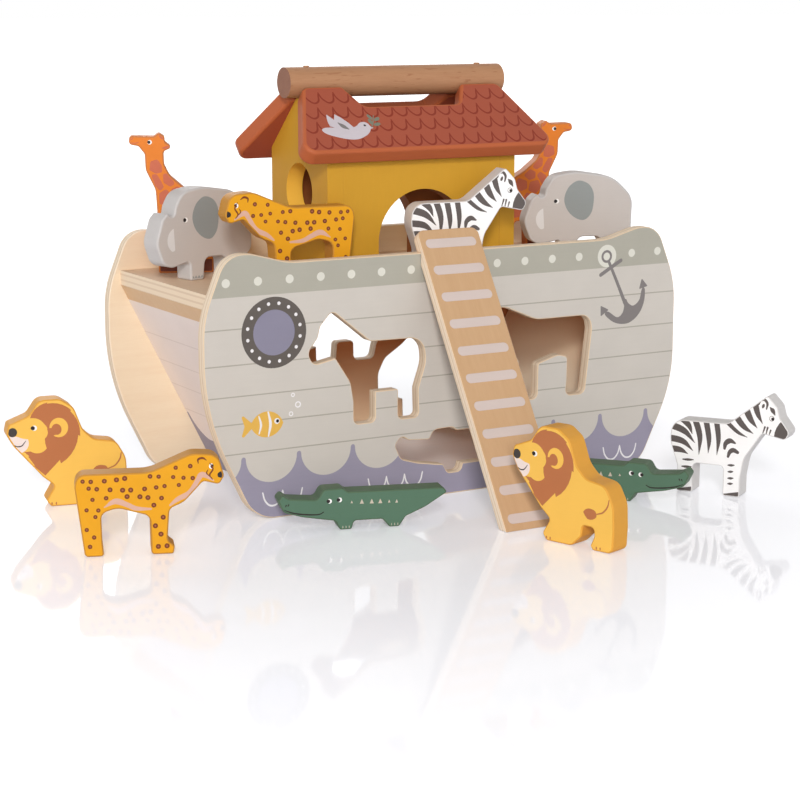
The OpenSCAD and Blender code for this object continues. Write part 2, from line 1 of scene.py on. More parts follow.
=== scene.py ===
# Looks of the wooden ark toy: painted panels, bare plywood, beech and twelve painted flat animals.
# Shapes are drawn in millimetres, in the same frame as the solids, and made in metres.
import math

import bmesh
import bpy
from mathutils import Matrix, Vector
from mathutils.geometry import delaunay_2d_cdt


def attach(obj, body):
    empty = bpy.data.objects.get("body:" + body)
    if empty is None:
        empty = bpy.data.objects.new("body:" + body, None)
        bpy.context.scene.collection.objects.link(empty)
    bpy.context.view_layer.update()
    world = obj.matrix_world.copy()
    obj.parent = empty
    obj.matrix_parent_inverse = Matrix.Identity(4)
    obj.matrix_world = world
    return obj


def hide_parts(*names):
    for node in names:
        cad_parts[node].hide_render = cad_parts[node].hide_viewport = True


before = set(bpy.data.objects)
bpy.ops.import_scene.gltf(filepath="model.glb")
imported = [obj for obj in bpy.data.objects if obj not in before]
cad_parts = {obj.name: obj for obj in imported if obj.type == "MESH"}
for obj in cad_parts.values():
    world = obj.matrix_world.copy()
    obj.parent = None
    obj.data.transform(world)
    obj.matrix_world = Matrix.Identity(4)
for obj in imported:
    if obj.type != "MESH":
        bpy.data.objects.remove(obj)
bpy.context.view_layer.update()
scene = bpy.context.scene
scene.view_settings.view_transform = "Standard"
MM = 0.001


def add_object(name, data):
    made = bpy.data.objects.new(name, data)
    scene.collection.objects.link(made)
    return made


# Materials
def linear(colour, lift=1.0):
    """A colour of 0 to 255 screen values, as the shaders want it."""
    shares = [value / 255 for value in colour]
    values = [share / 12.92 if share <= 0.04045 else ((share + 0.055) / 1.055) ** 2.4 for share in shares]
    return (*[min(value * lift, 1.0) for value in values], 1.0)


def add_node(tree, kind, sockets=None, **settings):
    made = tree.nodes.new("ShaderNode" + kind)
    for name, value in settings.items():
        setattr(made, name, value)
    for name, value in (sockets or {}).items():
        if isinstance(value, bpy.types.NodeSocket):
            tree.links.new(value, made.inputs[name])
        else:
            made.inputs[name].default_value = value
    return made


def start_material(name, specular=0.5):
    material = bpy.data.materials.new(name)
    material.use_nodes = True
    tree = material.node_tree
    shader = tree.nodes["Principled BSDF"]
    shader.inputs["Specular IOR Level"].default_value = specular
    place = tree.nodes.new("ShaderNodeTexCoord").outputs["Object"]
    return material, tree, shader, place


def noise(tree, place, scale, stretch=(1, 1, 1), detail=3.0, roughness=0.5):
    if stretch != (1, 1, 1):
        place = add_node(tree, "Mapping", {"Vector": place, "Scale": stretch}).outputs["Vector"]
    settings = {"Vector": place, "Scale": scale, "Detail": detail, "Roughness": roughness}
    return add_node(tree, "TexNoise", settings).outputs["Fac"]


def ramp(tree, factor, low, high):
    """A colour that runs from one (position, colour) stop to another."""
    made = add_node(tree, "ValToRGB", {"Fac": factor})
    for step, (position, colour) in zip(made.color_ramp.elements, (low, high)):
        step.position = position
        step.color = colour
    return made.outputs["Color"]


def blend(tree, share, first, second):
    """A number part of the way from one to another."""
    made = add_node(tree, "Mix", {"Factor": share, "A": first, "B": second}, data_type="FLOAT")
    return made.outputs["Result"]


def stretch_range(tree, value, low, high, start=0.0, end=1.0):
    """A number that runs from low to high while a value runs from start to end."""
    sockets = {"Value": value, "From Min": start, "From Max": end, "To Min": low, "To Max": high}
    return add_node(tree, "MapRange", sockets).outputs["Result"]


def height_of(tree, place):
    return add_node(tree, "SeparateXYZ", {"Vector": place}).outputs["Z"]


BUMP_STRENGTH = 0.5


def finish_material(tree, shader, colour, relief, relief_depth, rough_from, rough_low, rough_high):
    depth = relief_depth * MM
    bump = add_node(tree, "Bump", {"Height": relief, "Strength": BUMP_STRENGTH, "Distance": depth})
    tree.links.new(colour, shader.inputs["Base Color"])
    tree.links.new(stretch_range(tree, rough_from, rough_low, rough_high), shader.inputs["Roughness"])
    tree.links.new(bump.outputs["Normal"], shader.inputs["Normal"])


# Grain: how much finer a texture is along x, y and z
GRAIN_ALONG_X = (1, 14, 14)
GRAIN_ALONG_Z = (14, 14, 1)
GRAIN_UP_RAMP = (14, 1, 1)

# Texture scales, per metre, and depths of relief, in millimetres
CLOUD_SCALE = 38.0
PAINTED_GRAIN_SCALE = 55.0
FIGURE_SCALE = 17.1
LINING_SCALE = 17.0
PORE_SCALE = 159.6
FLECK_SCALE = 98.8
EDGE_PORE_SCALE = 420.0
PAINT_RELIEF = 0.1
WOOD_RELIEF = 0.15
EDGE_RELIEF = 0.2

# How far a paint's shade spreads, and how strongly paint and wood mirror light
PAINT_SPREAD = 0.03
PAINT_SPECULAR = 0.2
WOOD_SPECULAR = 0.3


def paint(name, colour, stretch=GRAIN_ALONG_X, rough=0.5):
    """Matt paint on sanded wood: slightly cloudy, with the grain just showing through."""
    material, tree, shader, place = start_material(name, PAINT_SPECULAR)
    clouds = noise(tree, place, CLOUD_SCALE)
    grain = noise(tree, place, PAINTED_GRAIN_SCALE, stretch, 4.0, 0.6)
    darker = linear(colour, 1 - PAINT_SPREAD)
    paler = linear(colour, 1 + PAINT_SPREAD)
    shade = ramp(tree, blend(tree, 0.3, clouds, grain), (0.3, darker), (0.7, paler))
    finish_material(tree, shader, shade, grain, PAINT_RELIEF, clouds, rough - 0.07, rough + 0.09)
    return material


def bare_wood(name, pale, dark, stretch=GRAIN_ALONG_X, fleck=None):
    """Bare sanded wood: long figure, fine pores and, where given, darker flecks."""
    material, tree, shader, place = start_material(name, WOOD_SPECULAR)
    figure = noise(tree, place, FIGURE_SCALE, stretch, 5.0, 0.62)
    pores = noise(tree, place, PORE_SCALE, stretch, 2.0, 0.6)
    colour = ramp(tree, blend(tree, 0.35, figure, pores), (0.34, linear(dark)), (0.62, linear(pale)))
    if fleck:
        short = noise(tree, place, FLECK_SCALE, tuple(1 + 0.35 * (finer - 1) for finer in stretch), 1.0)
        mask = ramp(tree, short, (0.63, (0, 0, 0, 1)), (0.7, (1, 1, 1, 1)))
        spots = add_node(tree, "Mix", {"Factor": mask, "A": colour, "B": linear(fleck)}, data_type="RGBA")
        colour = spots.outputs["Result"]
    finish_material(tree, shader, colour, pores, WOOD_RELIEF, figure, 0.47, 0.65)
    return material


def shaded_lining(name, top, foot, low=0.015, high=0.075):
    """Bare wood inside the hold, with painted shade: darker up under the deck and paler towards its foot as
    if lit through the holes, between two heights in metres.
    """
    material, tree, shader, place = start_material(name)
    figure = noise(tree, place, LINING_SCALE, GRAIN_ALONG_X, 5.0, 0.62)
    share = stretch_range(tree, height_of(tree, place), 0.0, 1.0, low, high)
    colour = ramp(tree, blend(tree, 0.1, share, figure), (0.0, linear(foot)), (1.0, linear(top)))
    finish_material(tree, shader, colour, figure, WOOD_RELIEF, figure, 0.5, 0.65)
    return material


def ply_edge(name, direction, pale, dark, plies_period=3.2, lean=0.0):
    """The edge of plywood: long-grain plies and darker end-grain plies in turn. The board may lean back."""
    material, tree, shader, place = start_material(name)
    if lean:
        place = add_node(tree, "Mapping", {"Vector": place, "Rotation": (lean, 0, 0)}).outputs["Vector"]
    waves = add_node(tree, "TexWave", {
        "Vector": place, "Scale": math.tau / (20 * plies_period * MM), "Distortion": 0.35, "Detail": 2.0,
        "Detail Scale": 0.6}, wave_type="BANDS", bands_direction=direction)
    pores = noise(tree, place, EDGE_PORE_SCALE)
    mixed = blend(tree, 0.12, waves.outputs["Fac"], pores)
    colour = ramp(tree, mixed, (0.15, linear(dark)), (0.4, linear(pale)))
    finish_material(tree, shader, colour, pores, EDGE_RELIEF, pores, 0.55, 0.75)
    return material


paints = {name: paint(name + "_paint", colour) for name, colour in {
    "hull": (204, 197, 188), "band": (174, 170, 157), "dot": (219, 216, 204), "plank_line": (170, 164, 152),
    "end": (240, 227, 221), "end_line": (226, 212, 205), "wave": (154, 148, 165), "foam": (236, 232, 232),
    "iron": (98, 91, 86), "glass": (138, 134, 152), "anchor": (130, 124, 122), "sun": (226, 178, 84),
    "white": (245, 241, 238), "roof": (166, 82, 59), "roof_edge": (182, 96, 58), "shingle": (136, 52, 34),
    "leaf": (122, 126, 110), "dove": (208, 198, 203), "rung": (211, 194, 186)}.items()}
black_paint = paint("black_paint", (45, 38, 38), rough=0.4)
house_paint = paint("house_paint", (203, 152, 46), GRAIN_ALONG_Z)
# Painted shade: a dark brown for the inside of the house and its arches
house_inside_painted_shade = paint("house_inside_painted_shade", (152, 90, 46), GRAIN_ALONG_Z)
# Painted highlight: a brighter copy of the house paint round the gable windows
window_painted_highlight = paint("window_painted_highlight", (244, 190, 74), GRAIN_ALONG_Z)
birch = bare_wood("birch_ply", (235, 215, 186), (231, 208, 178))
deck_wood = bare_wood("deck_ply", (232, 204, 175), (221, 191, 160))
# The hold linings are bare wood with painted shade, darker high up and paler low down
shaded_hold_wood = shaded_lining("shaded_hold_ply", (194, 116, 58), (255, 226, 188))
shaded_hold_end = shaded_lining("hold_end_ply", (255, 210, 162), (255, 240, 212), 0.05, 0.11)
strip_wood = bare_wood("strip_ply", (223, 189, 151), (219, 181, 141))
hold_floor = bare_wood("hold_floor_ply", (255, 246, 240), (252, 240, 232))
keel_wood = bare_wood("keel_ply", (255, 240, 210), (252, 234, 202))
birch_edge = ply_edge("birch_ply_edge", "Y", (238, 219, 194), (222, 197, 166))
deck_edge = ply_edge("deck_ply_edge", "Z", (240, 218, 190), (226, 200, 170), 3.8)
ramp_wood = bare_wood("ramp_ply", (205, 166, 126), (200, 160, 119), GRAIN_UP_RAMP)
RAMP_ANGLE = math.radians(58.2)
ramp_edge = ply_edge("ramp_ply_edge", "Y", (246, 226, 202), (232, 206, 176), 2.6, math.pi / 2 - RAMP_ANGLE)
beech = bare_wood("beech", (182, 135, 99), (171, 123, 88), fleck=(164, 114, 80))
beech_end = bare_wood("beech_end", (148, 104, 82), (136, 92, 72))


# Outlines: counter-clockwise lists of (x, z, corner radius)
LEAST_RADIUS = 0.05
# An arc has a step for each so many degrees, and for each so many millimetres
ARC_STEP = 7.0
ARC_CHORD = 2.5
# Two roundings may take up this share of the edge between them
EDGE_SHARE = 0.98


def corner_ways(corners, i):
    here = Vector(corners[i][:2])
    back = Vector(corners[i - 1][:2]) - here
    ahead = Vector(corners[(i + 1) % len(corners)][:2]) - here
    return here, back, ahead


def corner_reach(corners, i):
    _, back, ahead = corner_ways(corners, i)
    return corners[i][2] * math.tan((math.pi - back.angle(ahead)) / 2)


def edge_room(corners, i):
    after = (i + 1) % len(corners)
    length = corner_ways(corners, i)[2].length
    return length / (corner_reach(corners, i) + corner_reach(corners, after))


def grown(corners, distance):
    """The outline with every edge moved out by a distance."""
    moved = []
    for i, corner in enumerate(corners):
        here, back, ahead = corner_ways(corners, i)
        normal_in = Vector((-back.y, back.x)).normalized()
        normal_out = Vector((ahead.y, -ahead.x)).normalized()
        place = here + (normal_in + normal_out) * distance / (1 + normal_in.dot(normal_out))
        bulges = normal_in.cross(normal_out) > 0
        radius = corner[2] + (distance if bulges else -distance)
        moved.append((place.x, place.y, max(radius, LEAST_RADIUS)))
    return moved


def rounded(corners, base=None):
    """Points round an outline, each with its outward direction. A base keeps rings of points alike."""
    base = base or corners
    rooms = [edge_room(corners, i) for i in range(len(corners))]
    points = []
    for i in range(len(corners)):
        here, back, ahead = corner_ways(corners, i)
        back.normalize()
        ahead.normalize()
        turn = math.pi - back.angle(ahead)
        room = min(1, EDGE_SHARE * rooms[i - 1], EDGE_SHARE * rooms[i])
        radius = max(corners[i][2] * room, LEAST_RADIUS)
        centre = here + (back + ahead).normalized() * radius / math.cos(turn / 2)
        spoke = here + back * radius * math.tan(turn / 2) - centre
        way = 1 if back.cross(ahead) < 0 else -1
        steps = math.ceil(max(2, math.degrees(turn) / ARC_STEP, turn * base[i][2] / ARC_CHORD))
        for k in range(steps + 1):
            turned = Matrix.Rotation(way * turn * k / steps, 2) @ spoke
            points.append((centre + turned, turned.normalized() * way))
    return points


def border(corners):
    return [tuple(point) for point, _ in rounded(corners)]


def flipped(corners):
    return [(-corner[0], *corner[1:]) for corner in reversed(corners)]


def placed(corners, x, z, way=1):
    facing = corners if way > 0 else flipped(corners)
    return [(corner[0] + x, corner[1] + z, corner[2]) for corner in facing]


# Painted shapes: lists of flat points
BULGE_STEP = 0.2
BRUSH_STEPS = 6
BRUSH_LEAST = 0.2
BRUSH_END_STEPS = 6
BLOB_STEPS = 5


def area(points):
    return sum(a[0] * b[1] - a[1] * b[0] for a, b in zip(points, points[1:] + points[:1])) / 2


def turned_left(points):
    return points if area(points) > 0 else points[::-1]


def disc(x, z, radius, height=None, tilt=0.0, count=26):
    tall = height or radius
    spin = Matrix.Rotation(math.radians(tilt), 2)
    points = []
    for k in range(count):
        angle = math.tau * k / count
        point = spin @ Vector((radius * math.cos(angle), tall * math.sin(angle)))
        points.append((x + point.x, z + point.y))
    return points


def shape(*corners):
    """A closed shape of (x, z) or (x, z, bulge). A bulge bows the edge that follows outward."""
    way = 1 if area(corners) > 0 else -1
    points = []
    for k, corner in enumerate(corners):
        start = Vector(corner[:2])
        end = Vector(corners[(k + 1) % len(corners)][:2])
        points.append(tuple(start))
        bulge = corner[2] * way if len(corner) > 2 else 0
        if bulge:
            half = (end - start) / 2
            outward = Vector((half.y, -half.x)).normalized()
            radius = half.length * (1 + bulge * bulge) / (2 * bulge)
            centre = start + half + outward * (bulge * half.length - radius)
            sweep = 4 * math.atan(bulge)
            steps = math.ceil(abs(sweep) / BULGE_STEP)
            for j in range(1, steps):
                points.append(tuple(centre + Matrix.Rotation(sweep * j / steps, 2) @ (start - centre)))
    return turned_left(points)


def soft(radius, *points, spread=0):
    """A patch with rounded corners, grown on all sides where it spreads."""
    corners = [(x, z, radius) for x, z in turned_left(list(points))]
    return border(grown(corners, spread) if spread else corners)


def between(a, b, c, d, t):
    """A point on the smooth curve through four knots, a share t of the way from the second to the third."""
    return b + ((c - a) * t + (2 * a - 5 * b + 4 * c - d) * t * t
                + (3 * b - a - 3 * c + d) * t * t * t) / 2


def brush(*knots):
    """A stroke along a smooth path of (x, z, width) with round ends."""
    ends = [Vector(knot) for knot in knots]
    ends = [2 * ends[0] - ends[1]] + ends + [2 * ends[-1] - ends[-2]]
    spine = []
    for a, b, c, d in zip(ends, ends[1:], ends[2:], ends[3:]):
        spine += [between(a, b, c, d, k / BRUSH_STEPS) for k in range(BRUSH_STEPS)]
    spine.append(ends[-2])
    left = []
    right = []
    caps = []
    for k, here in enumerate(spine):
        along = (spine[min(k + 1, len(spine) - 1)] - spine[max(k - 1, 0)]).xy.normalized()
        half = max(here.z, BRUSH_LEAST) / 2
        side = Vector((-along.y, along.x)) * half
        left.append(tuple(here.xy + side))
        right.append(tuple(here.xy - side))
        if k in (0, len(spine) - 1):
            out = -side if k else side
            turns = [Matrix.Rotation(math.pi * j / BRUSH_END_STEPS, 2) for j in range(1, BRUSH_END_STEPS)]
            caps.append([tuple(here.xy + turn @ out) for turn in turns])
    return turned_left(right + caps[1] + left[::-1] + caps[0])


def blob(*knots):
    """A patch with a smooth border through all its knots."""
    ring = [Vector(knot) for knot in knots]
    points = []
    for k in range(len(ring)):
        a, b, c, d = (ring[(k + j) % len(ring)] for j in (-1, 0, 1, 2))
        points += [tuple(between(a, b, c, d, step / BLOB_STEPS)) for step in range(BLOB_STEPS)]
    return turned_left(points)


# Boards: x to the right, z up and y into the board from its front face
ARRIS_STEPS = 4
INSIDE_ONLY = 1
JOIN_WITHIN = 1e-5


class Board:
    def __init__(self):
        self.points = []
        self.normals = []
        self.faces = []
        self.slots = []
        self.known = {}

    def vertex(self, point, normal):
        key = tuple(round(value, 3) for value in point)
        if key not in self.known:
            self.known[key] = len(self.points)
            self.points.append(Vector(point))
            self.normals.append(Vector(normal))
        return self.known[key]

    def face(self, vertices, slot):
        kept = [vertex for k, vertex in enumerate(vertices) if vertex != vertices[k - 1]]
        if len(kept) > 2 and len(set(kept)) == len(kept):
            self.faces.append(kept)
            self.slots.append(slot)

    def sides(self, corners, levels, slot, hole=False):
        """The edge of the board all round an outline, or round a hole. Gives the front's border."""
        way = -1 if hole else 1
        rings = []
        for inset, depth, tilt in levels:
            ring = []
            for point, outward in rounded(grown(corners, -way * inset), corners):
                across = outward * way * math.sin(tilt)
                ring.append(self.vertex((point.x, depth, point.y), (across.x, -math.cos(tilt), across.y)))
            rings.append(ring)
        for near, far in zip(rings, rings[1:]):
            for k in range(len(near)):
                quad = [near[k - 1], far[k - 1], far[k], near[k]]
                self.face(quad[::-1] if hole else quad, slot)
        return [(self.points[k].x, self.points[k].z) for k in dict.fromkeys(rings[0])]

    def cap(self, loops, marks, depth, slot, front):
        """A flat face inside the first loop and outside the others, with marks painted on in order."""
        coordinates = []
        outlines = []
        for loop in loops + [mark for mark, _ in marks]:
            first = len(coordinates)
            coordinates.extend(Vector(point) for point in loop)
            outlines.append(list(range(first, len(coordinates))))
        points, _, triangles, _, _, sources = delaunay_2d_cdt(
            coordinates, [], outlines, INSIDE_ONLY, JOIN_WITHIN)
        normal = (0, -1 if front else 1, 0)
        count = len(loops)
        for triangle, source in zip(triangles, sources):
            if 0 not in source or any(0 < item < count for item in source):
                continue
            top = max(source)
            corners = [self.vertex((points[k].x, depth, points[k].y), normal) for k in triangle]
            self.face(corners if front else corners[::-1], marks[top - count][1] if top >= count else slot)

    def make(self, name, materials, form=Matrix()):
        mesh = bpy.data.meshes.new(name)
        mesh.from_pydata([(form @ point) * MM for point in self.points], [], self.faces)
        for material in materials:
            mesh.materials.append(material)
        mesh.polygons.foreach_set("material_index", self.slots)
        mesh.polygons.foreach_set("use_smooth", [True] * len(self.faces))
        turn = form.to_3x3().inverted().transposed()
        normals = [(turn @ normal).normalized() for normal in self.normals]
        mesh.normals_split_custom_set_from_vertices(normals)
        mesh.update()
        return add_object(name, mesh)


FACE = 0
EDGE = 1


def slab(name, outline, thickness, arris, materials, holes=(), front=(), back=(), rear_slot=FACE,
         form=Matrix()):
    """A flat board with eased edges. Marks on the back are given as seen through the board."""
    board = Board()
    near = []
    for k in range(ARRIS_STEPS + 1):
        tilt = math.pi / 2 * k / ARRIS_STEPS
        near.append((arris * (1 - math.sin(tilt)), arris * (1 - math.cos(tilt)), tilt))
    levels = near + [(inset, thickness - depth, math.pi - tilt) for inset, depth, tilt in reversed(near)]
    loops = [board.sides(outline, levels, EDGE)]
    loops += [board.sides(hole, levels, EDGE, True) for hole in holes]
    board.cap(loops, list(front), 0.0, FACE, True)
    board.cap(loops, list(back), thickness, rear_slot, False)
    return board.make(name, materials, form)


def leaning(angle, x, y, z):
    """Places a board that leans back to an angle from level."""
    across = math.cos(angle)
    up = math.sin(angle)
    return Matrix(((1, 0, 0, x), (0, up, across, y), (0, -across, up, z), (0, 0, 0, 1)))


def settle(piece, body, slot, *nodes):
    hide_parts(*nodes)
    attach(piece, body)


FLAT_ANGLE = math.radians(1)
SHARP_ANGLE = math.radians(25)
CREASE_ANGLE = math.radians(32)
WELD_WITHIN = 1e-6


def eased_copy(node, width, materials, choose, body, slot, segments=3):
    """A copy of a plain solid with eased edges. A face's direction and place choose its material."""
    name = node + "_eased"
    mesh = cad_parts[node].data.copy()
    mesh.name = name
    work = bmesh.new()
    work.from_mesh(mesh)
    bmesh.ops.remove_doubles(work, verts=work.verts, dist=WELD_WITHIN)
    bmesh.ops.dissolve_limit(work, angle_limit=FLAT_ANGLE, verts=work.verts, edges=work.edges)
    sharp = [edge for edge in work.edges if edge.is_manifold and edge.calc_face_angle() > SHARP_ANGLE]
    bmesh.ops.bevel(work, geom=sharp, offset=width * MM, segments=segments, profile=0.5, affect="EDGES",
                    clamp_overlap=True)
    bmesh.ops.recalc_face_normals(work, faces=work.faces)
    for face in work.faces:
        face.smooth = True
        face.material_index = choose(face.normal, face.calc_center_median() / MM)
    mesh.materials.clear()
    for material in materials:
        mesh.materials.append(material)
    work.to_mesh(mesh)
    work.free()
    mesh.set_sharp_from_angle(angle=CREASE_ANGLE)
    piece = add_object(name, mesh)
    weighted = piece.modifiers.new("weighted_normals", "WEIGHTED_NORMAL")
    weighted.keep_sharp = True
    settle(piece, body, slot, node)


# Hull sizes and outlines, as the solids have them
HULL_HALF_WIDTH = 80
PANEL_THICKNESS = 8
PANEL_ARRIS = 0.7
POSTING_GAP = 2

gunwale_end = [(180, 129.5, 70), (164, 169, 17), (147, 169, 32), (121, 162, 50)]
panel_outline = ([(151.5, 0, 24), (180, 59, 100)] + gunwale_end
                 + flipped([(146.5, 0, 24), (180, 69.5, 150)] + gunwale_end))

lion_outline = [
    (-11.8, 0, 2.5), (7.5, 0, 6), (14.6, 6.8, 4), (15.6, 13.8, 2), (23.6, 13.8, 2.6), (24.2, 8.6, 4),
    (21.4, 2.6, 1.4), (23.2, 0, 1), (37.6, 0, 4), (38.4, 14, 30), (37.8, 29, 14), (31.5, 40.6, 8),
    (17, 42.6, 9), (10, 49.5, 12), (4.6, 64.5, 9), (-4, 70.4, 8), (-17.5, 70.4, 7), (-24.2, 60.6, 6),
    (-37.4, 55.4, 2.6), (-38.9, 49, 5), (-34.6, 41, 10), (-16.4, 19.8, 8), (-9, 13.6, 2.5),
    (-14.8, 4.2, 2.4)]
leopard_outline = [
    (-13.3, 0, 1.4), (-0.3, 0, 2), (0, 23.5, 5), (19, 29, 12), (28.5, 26, 5), (28.2, 8, 10),
    (27.4, 0, 1.8), (38.6, 0, 2.5), (43.6, 42, 6), (42.2, 49.8, 6), (0, 49.8, 24), (-25, 60.3, 14),
    (-40.6, 59.2, 8), (-44, 46, 3.5), (-41, 41, 2.6), (-31.6, 43.4, 3), (-20, 31, 14),
    (-11.4, 27.4, 4.5), (-9.9, 8.2, 4.5), (-14.2, 4.6, 1.6)]
crocodile_outline = [
    (-14.6, 0, 1.4), (-7.4, 0, 1.6), (-5.8, 5.3, 2.6), (12.4, 5.3, 3), (16.8, 0, 1.6), (23, 0, 1.6),
    (27, 6, 4), (40, 11.6, 25), (54, 20.2, 1.2), (51.5, 23.2, 1), (-9.6, 23.8, 4), (-12.6, 26.3, 3),
    (-25, 26, 3.5), (-28.8, 19.7, 3.5), (-46.5, 21.2, 5), (-50.5, 23.8, 1.6), (-53.4, 20.5, 1.8),
    (-50, 12.8, 4), (-38, 9.2, 20), (-17.8, 5.8, 3)]
zebra_outline = [
    (-8.2, 0, 1.5), (3.3, 0, 1.5), (3.3, 20, 3), (24.6, 20, 3.5), (24.6, 0, 1.5), (35.8, 0, 1.5),
    (35.2, 17, 12), (41, 34, 18), (39.5, 48.2, 9), (1, 48.8, 8), (-25.3, 69.8, 1.8), (-32.2, 62.4, 5),
    (-34, 55.4, 8), (-40.8, 46.6, 3.8), (-38, 41.3, 2.8), (-22.4, 44.4, 2.6), (-10.6, 26.5, 14),
    (-8.2, 13, 10)]
elephant_outline = [
    (-13, 0, 1.6), (-2, 0, 1.8), (-0.8, 14.3, 5), (17.2, 14.3, 5), (17.4, 0, 1.8), (29.5, 0, 2.2),
    (31.8, 10, 8), (38.8, 17.5, 8), (39.6, 42, 14), (24.8, 56.5, 24), (-2, 60.6, 40), (-19, 57.8, 12),
    (-24.4, 48.5, 8), (-26, 40.4, 2.4), (-30.6, 45.2, 1.4), (-35, 41.2, 6), (-40.4, 26, 12),
    (-34.8, 11.5, 8), (-27, 9.6, 8), (-13.3, 12.6, 2.4)]
giraffe_outline = [
    (-9, 0, 1.5), (6.8, 0, 1.8), (7.2, 20, 3.5), (16, 20, 3.5), (16.4, 0, 1.8), (27.4, 0, 1.8),
    (27.8, 38, 10), (22.5, 48, 8), (8.5, 56.8, 12), (-0.6, 64.8, 9), (-4, 72, 8), (-4.2, 80.8, 2.4),
    (1.8, 83.2, 1.5), (-3.2, 86.8, 2.2), (-3.4, 90.4, 1.6), (-7.2, 92.8, 1.6), (-10.4, 90.4, 2.2),
    (-26.4, 91, 2.6), (-26.9, 85.4, 2.4), (-20.5, 84.2, 3), (-16.6, 79, 3), (-16.2, 68.5, 10),
    (-10, 55.5, 10), (-9.2, 40, 20)]

# Hull paint: where it runs past an edge, the board cuts it off
SIDE_REACH = 190
END_REACH = 80
BAND_HEIGHT = 142.7
BAND_TOP = 180
DOT_PITCH = 21.9
DOT_COUNT = 16
DOT_HEIGHT = 151.6
DOT_RADIUS = 2.8
PLANK_HEIGHTS = (122.8, 100.3, 80.5, 63, 44)
HALF_LINE = 0.4
WAVE_PITCH = 38.9
WAVE_SHIFT = 1.6
END_WAVE_SHIFT = 8
CREST_HEIGHT = 40
CREST_RADIUS = 1.55
CREST_STEPS = 6
TROUGH_DEPTH = 16.3
TROUGH_STEPS = 24
SEA_BED = -5
STRIP_FOOT = 123
STRIP_TOP = 140
PORTHOLE_RADIUS = 22.5
GLASS_RADIUS = 14.4
RIVET_RING = 18.5
RIVET_COUNT = 16
RIVET_RADIUS = 1.15
# A loop of foam: shares of its width, heights and widths of the stroke
FOAM_LOOP = (
    (0, 17.2, 0.9), (0.1, 12.2, 1.1), (0.34, 8.6, 1.2), (0.66, 8.6, 1.2), (0.9, 12.2, 1.1), (1, 17.2, 0.9))

# The slots after face and edge
(BAND, DOT, LINE, WAVE, FOAM, IRON, GLASS, ANCHOR, SUN, BLACK, BARE, HOLD) = range(2, 14)
hull_materials = [
    paints["hull"], birch_edge, paints["band"], paints["dot"], paints["plank_line"], paints["wave"],
    paints["foam"], paints["iron"], paints["glass"], paints["anchor"], paints["sun"], black_paint, birch,
    shaded_hold_wood]


def bar(x0, x1, z0, z1):
    return [(x0, z0), (x1, z0), (x1, z1), (x0, z1)]


def planks(half):
    return [(bar(-half, half, z - HALF_LINE, z + HALF_LINE), LINE) for z in PLANK_HEIGHTS]


def sea(half, shift):
    """Water with wide round troughs that meet in narrow round crests."""
    turns = math.ceil(half / WAVE_PITCH) + 1
    trough = WAVE_PITCH / 2 - CREST_RADIUS
    surface = []
    for k in range(-turns, turns):
        middle = shift + WAVE_PITCH * (k + 0.5)
        for j in range(TROUGH_STEPS + 1):
            angle = math.pi * j / TROUGH_STEPS
            z = CREST_HEIGHT - TROUGH_DEPTH * math.sin(angle)
            surface.append((middle - trough * math.cos(angle), z))
        crest = middle + WAVE_PITCH / 2
        for j in range(1, CREST_STEPS):
            angle = math.pi * j / CREST_STEPS
            z = CREST_HEIGHT + CREST_RADIUS * math.sin(angle)
            surface.append((crest - CREST_RADIUS * math.cos(angle), z))
    return [([(surface[0][0], SEA_BED), (surface[-1][0], SEA_BED)] + surface[::-1], WAVE)]


def garland(x, count, pitch=14):
    """A row of hanging loops of foam."""
    marks = []
    for k in range(count):
        knots = [(x + pitch * (k + share), z, width) for share, z, width in FOAM_LOOP]
        marks.append((brush(*knots), FOAM))
    return marks


def porthole(x, z):
    marks = [(disc(x, z, PORTHOLE_RADIUS, count=56), IRON), (disc(x, z, GLASS_RADIUS, count=44), GLASS)]
    for k in range(RIVET_COUNT):
        angle = math.tau * (k + 0.5) / RIVET_COUNT
        across = RIVET_RING * math.cos(angle)
        up = RIVET_RING * math.sin(angle)
        marks.append((disc(x + across, z + up, RIVET_RADIUS, count=14), FOAM))
    return marks


def anchor():
    return [
        (disc(121.6, 150.7, 7.7, count=36), DOT),
        (disc(121.4, 150.4, 4.4), ANCHOR), (disc(121.4, 150.4, 2.7), DOT),
        (brush((116.6, 138, 2.6), (125, 142.6, 2.7), (133.4, 147, 2.6)), ANCHOR),
        (brush((123.4, 146.4, 2.2), (130.8, 131.4, 2.4), (137.6, 117, 2.8)), ANCHOR),
        (blob((120.8, 110.4), (127.2, 105.2), (134.2, 103), (142.2, 103.6), (149.8, 109.2), (153.8, 117.4),
              (154.2, 126), (151.6, 126), (149.6, 118.6), (144.6, 115), (140.2, 117.2), (138.4, 120),
              (136.4, 118.8), (136.8, 115), (135.4, 110.4), (131, 107.9), (123.4, 112.4)), ANCHOR),
        (soft(0.5, (117, 117), (117.2, 109.4), (124, 113.6)), ANCHOR),
        (soft(0.5, (151.4, 133.4), (149.2, 126), (156.6, 127.8)), ANCHOR)]


def fish(x, z):
    """A plain fish and three bubbles."""
    marks = [
        (shape((x - 11, z, 0.72), (x + 12, z, 0.72)), SUN),
        (soft(1, (x - 8, z), (x - 18, z + 9), (x - 15, z), (x - 18, z - 9)), SUN),
        (brush((x + 1.5, z + 7.6, 1), (x + 3, z, 1.9), (x + 1.5, z - 7.6, 1)), FOAM),
        (brush((x - 5, z + 5.6, 0.8), (x - 3.6, z, 1.6), (x - 5, z - 5.6, 0.8)), FOAM),
        (disc(x + 7.6, z + 1.4, 1.9, count=18), FOAM), (disc(x + 8, z + 1.4, 1.1, count=16), BLACK)]
    bubbles = ((17.5, 5, 1.6, 0.9, 16), (22.5, 10.5, 2.1, 1.3, 18), (19, 17, 1.4, 0.7, 16))
    for across, up, rim, middle, count in bubbles:
        marks.append((disc(x + across, z + up, rim, count=count), FOAM))
        marks.append((disc(x + across, z + up, middle, count=14), FACE))
    return marks


